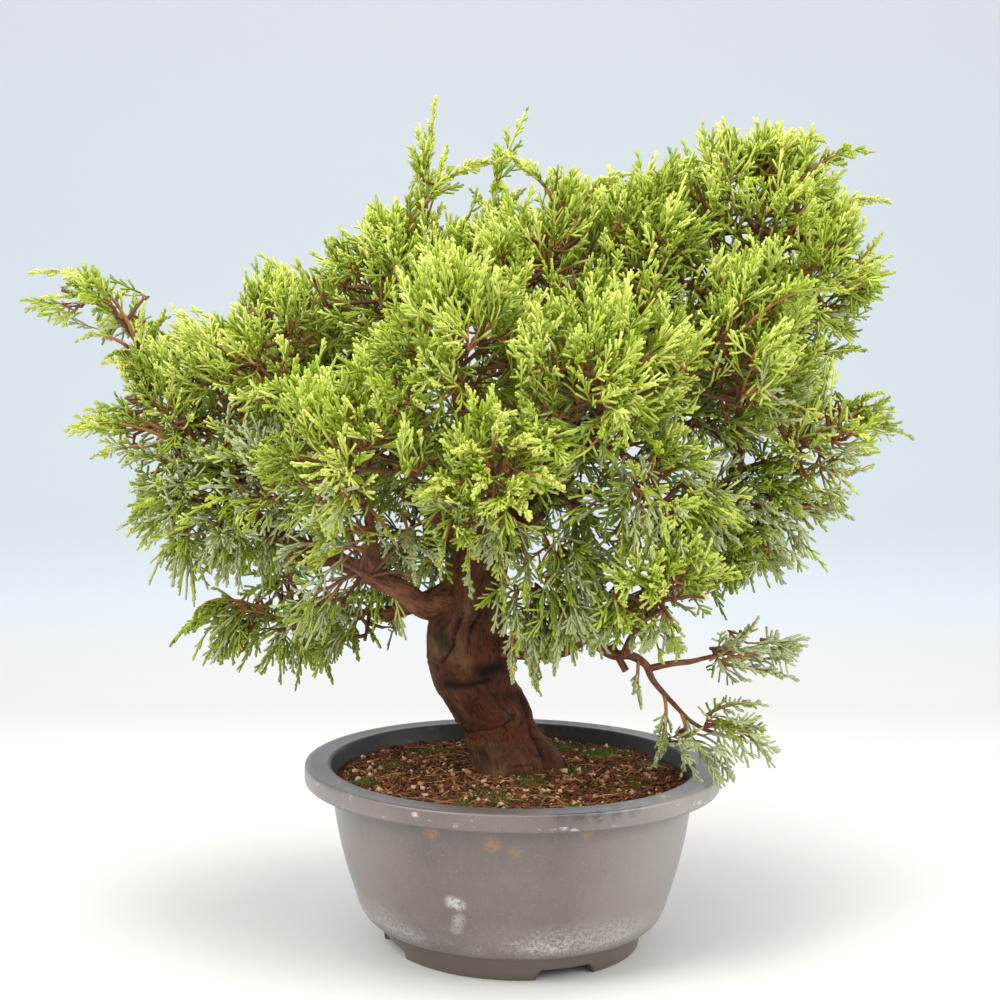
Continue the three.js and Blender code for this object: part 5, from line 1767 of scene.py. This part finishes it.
class BONSAI_OT_foliage(bpy.types.Operator):
    """Adds the scale-leaf sprays, joined by part of the crown"""
    bl_idname = "bonsai.foliage"
    bl_label = "Foliage"

    def execute(self, context):
        settings = context.scene.bonsai_foliage
        crown = crown_of(settings)
        materials = foliage_materials(settings)
        for name, masses in CROWN.items():
            rows = [row for mass in masses for grown in crown[mass] for row in grown["sprays"]]
            spots, faces, kinds = joined(spray_parts(rows))
            piece = mesh_piece(name, placed(spots), faces, materials, kinds=kinds)
            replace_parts(piece, *["foliage_" + mass for mass in masses])
        return {"FINISHED"}


def crown_of(settings):
    """What grows by the foliage's settings."""
    return grown_crown(settings.density, settings.spray_length / MM, settings.shoot_width / MM)


def twig_parts(grown):
    """Bundle parts of one mass's stem, twigs, branchlets, twiglets and leaders. Each row has the
    radii at both ends, rings, sides and material: 0 for old wood and 1 for young."""
    slim = grown["slim"]
    leaders = np.array(grown["leaders"], float).reshape(-1, 3, 3).transpose(1, 0, 2)
    rows = [
        (np.array(grown["stem"])[:, None], STEM_FOOT, STEM_END, 9, 6, int(slim)),
        (grown["twigs"], 1.4, 1.0, 6, 5, 0), (grown["branchlets"], 1.1, 0.5, 4, 4, 0),
        (grown["twiglets"], 1.0, 0.4, 4, 3, 1), (leaders, 1.3, 0.4, 8, 5, 1)]
    parts = []
    for control, foot, end, rings, sides, kind in rows:
        many = control.shape[1]
        if not many:
            continue
        centres = bend(*control[:, :, None], np.linspace(0, 1, rings))
        radii = np.tile(np.linspace(foot, end, rings), (many, 1)) * (0.6 if slim else 1)
        across = np.tile([0.31, 0.87, 0.39], (many, 1))
        spots, faces, _ = bundle(centres, radii, across, sides=sides)
        parts.append((spots, faces, np.full(len(faces), kind)))
    return parts


def spray_parts(rows):
    """Bundle parts of many sprays. Fingers and the axis's outer part are a colour lighter."""
    lighter = np.array([1, 2, 3, 3, 5])
    parts = []
    for centres, radii, across, tints in rows:
        if not len(tints):
            continue
        spots, faces, at_ring = bundle(centres, radii, across)
        body = np.repeat(tints, len(faces) // len(tints))
        is_light = (radii.shape[1] == FINGER_RINGS) | (at_ring > 0)
        parts.append((spots, faces, np.where(is_light, lighter[body], body)))
    return parts


def foliage_materials(settings):
    """Deep, middle, bright, tip, grey and pale shoots, in the order of the tints."""
    colors = {
        "deep": settings.deep_color, "middle": settings.mid_color, "bright": settings.bright_color,
        "tip": settings.tip_color, "grey": settings.grey_color, "pale": settings.pale_color}
    return [paint("shoots_" + name, color, 0.48, 0.4) for name, color in colors.items()]


# Stage

def floor_and_backdrop(settings):
    """A floor that rises far behind the plant in one soft curve, pale below and bluer above."""
    turn = np.linspace(0, math.pi / 2, 24)
    path = np.vstack([[-6, 0], np.stack([3 + 2 * np.sin(turn), 2 - 2 * np.cos(turn)], 1), [5, 8]])
    spots = np.array([[a, p[0], p[1]] for p in path for a in (-6, 6)])
    k = np.arange(len(path) - 1) * 2
    faces = np.stack([k, k + 1, k + 3, k + 2], 1)
    paper = Finish("paper", settings.floor_color, 0.9, 0.1)
    place = paper.node("SeparateXYZ", {0: paper.place()})
    back = paper.rise(place.outputs["Y"], *BACKDROP_Y)
    high = paper.rise(place.outputs["Z"], *BACKDROP_Z)
    tones = {"floor": settings.floor_color, "wall": settings.wall_color}
    color = paper.ramp(back, *[(at, tinted(tones[tone], share)) for at, tone, share in BACKDROP])
    paper.drive("Base Color", paper.mixed(high, color, settings.top_color))
    mesh = bpy.data.meshes.new("paper_sweep")
    mesh.from_pydata(spots.tolist(), [], faces.tolist())
    mesh.materials.append(paper.material)
    mesh.polygons.foreach_set("use_smooth", np.ones(len(faces), bool))
    sweep = bpy.data.objects.new("paper_sweep", mesh)
    bpy.context.scene.collection.objects.link(sweep)


def lights(settings):
    """Even light from all round, a soft key light above left and large ones right and above."""
    scene = bpy.context.scene
    world = bpy.data.worlds.new("studio")
    world.use_nodes = True
    background = world.node_tree.nodes["Background"]
    background.inputs[0].default_value = (*settings.sky_color, 1)
    background.inputs[1].default_value = settings.sky_strength
    scene.world = world
    scene.view_settings.view_transform = "Standard"
    for name, spot, size, share in LIGHTS:
        data = bpy.data.lights.new(name, "AREA")
        data.energy = share * settings.key_power
        data.size = size
        data.color = LIGHT_COLOR
        lamp = bpy.data.objects.new(name, data)
        lamp.location = spot
        aim = LIGHT_AIM - np.array(spot)
        tilt = math.atan2(math.hypot(aim[0], aim[1]), -aim[2])
        lamp.rotation_euler = (tilt, 0, math.atan2(aim[1], aim[0]) - math.pi / 2)
        scene.collection.objects.link(lamp)


def camera(settings):
    """The camera in front of the pot, over the crown's middle, looking slightly down."""
    data = bpy.data.cameras.new("view")
    data.lens = settings.lens
    data.sensor_width = 36
    view = bpy.data.objects.new("view", data)
    view.location = placed(EYE)
    view.rotation_euler = (math.radians(90 - LOOK_DOWN), 0, 0)
    bpy.context.scene.collection.objects.link(view)
    bpy.context.scene.camera = view


class BONSAI_PT_panel(bpy.types.Panel):
    """Lists the steps that make the bonsai"""
    bl_label = "Juniper bonsai"
    bl_space_type = "VIEW_3D"
    bl_region_type = "UI"
    bl_category = "Bonsai"

    def draw(self, context):
        for made in OPERATORS:
            self.layout.operator(made.bl_idname)


SETTINGS = {"bonsai_pot": PotSettings, "bonsai_soil": SoilSettings, "bonsai_bark": BarkSettings,
            "bonsai_foliage": FoliageSettings, "bonsai_stage": StageSettings}
OPERATORS = [BONSAI_OT_stage, BONSAI_OT_pot, BONSAI_OT_soil, BONSAI_OT_trunk, BONSAI_OT_boughs,
             BONSAI_OT_twigs, BONSAI_OT_foliage]


def register():
    for made in [*SETTINGS.values(), *OPERATORS, BONSAI_PT_panel]:
        bpy.utils.register_class(made)
    for name, group in SETTINGS.items():
        setattr(bpy.types.Scene, name, bpy.props.PointerProperty(type=group))


def unregister():
    for name in SETTINGS:
        delattr(bpy.types.Scene, name)
    for made in reversed([*SETTINGS.values(), *OPERATORS, BONSAI_PT_panel]):
        bpy.utils.unregister_class(made)


def main():
    """Makes the whole scene."""
    register()
    bpy.ops.bonsai.stage()
    bpy.ops.bonsai.pot()
    bpy.ops.bonsai.soil()
    bpy.ops.bonsai.trunk()
    bpy.ops.bonsai.boughs()
    bpy.ops.bonsai.twigs()
    bpy.ops.bonsai.foliage()


if __name__ == "__main__":
    main()
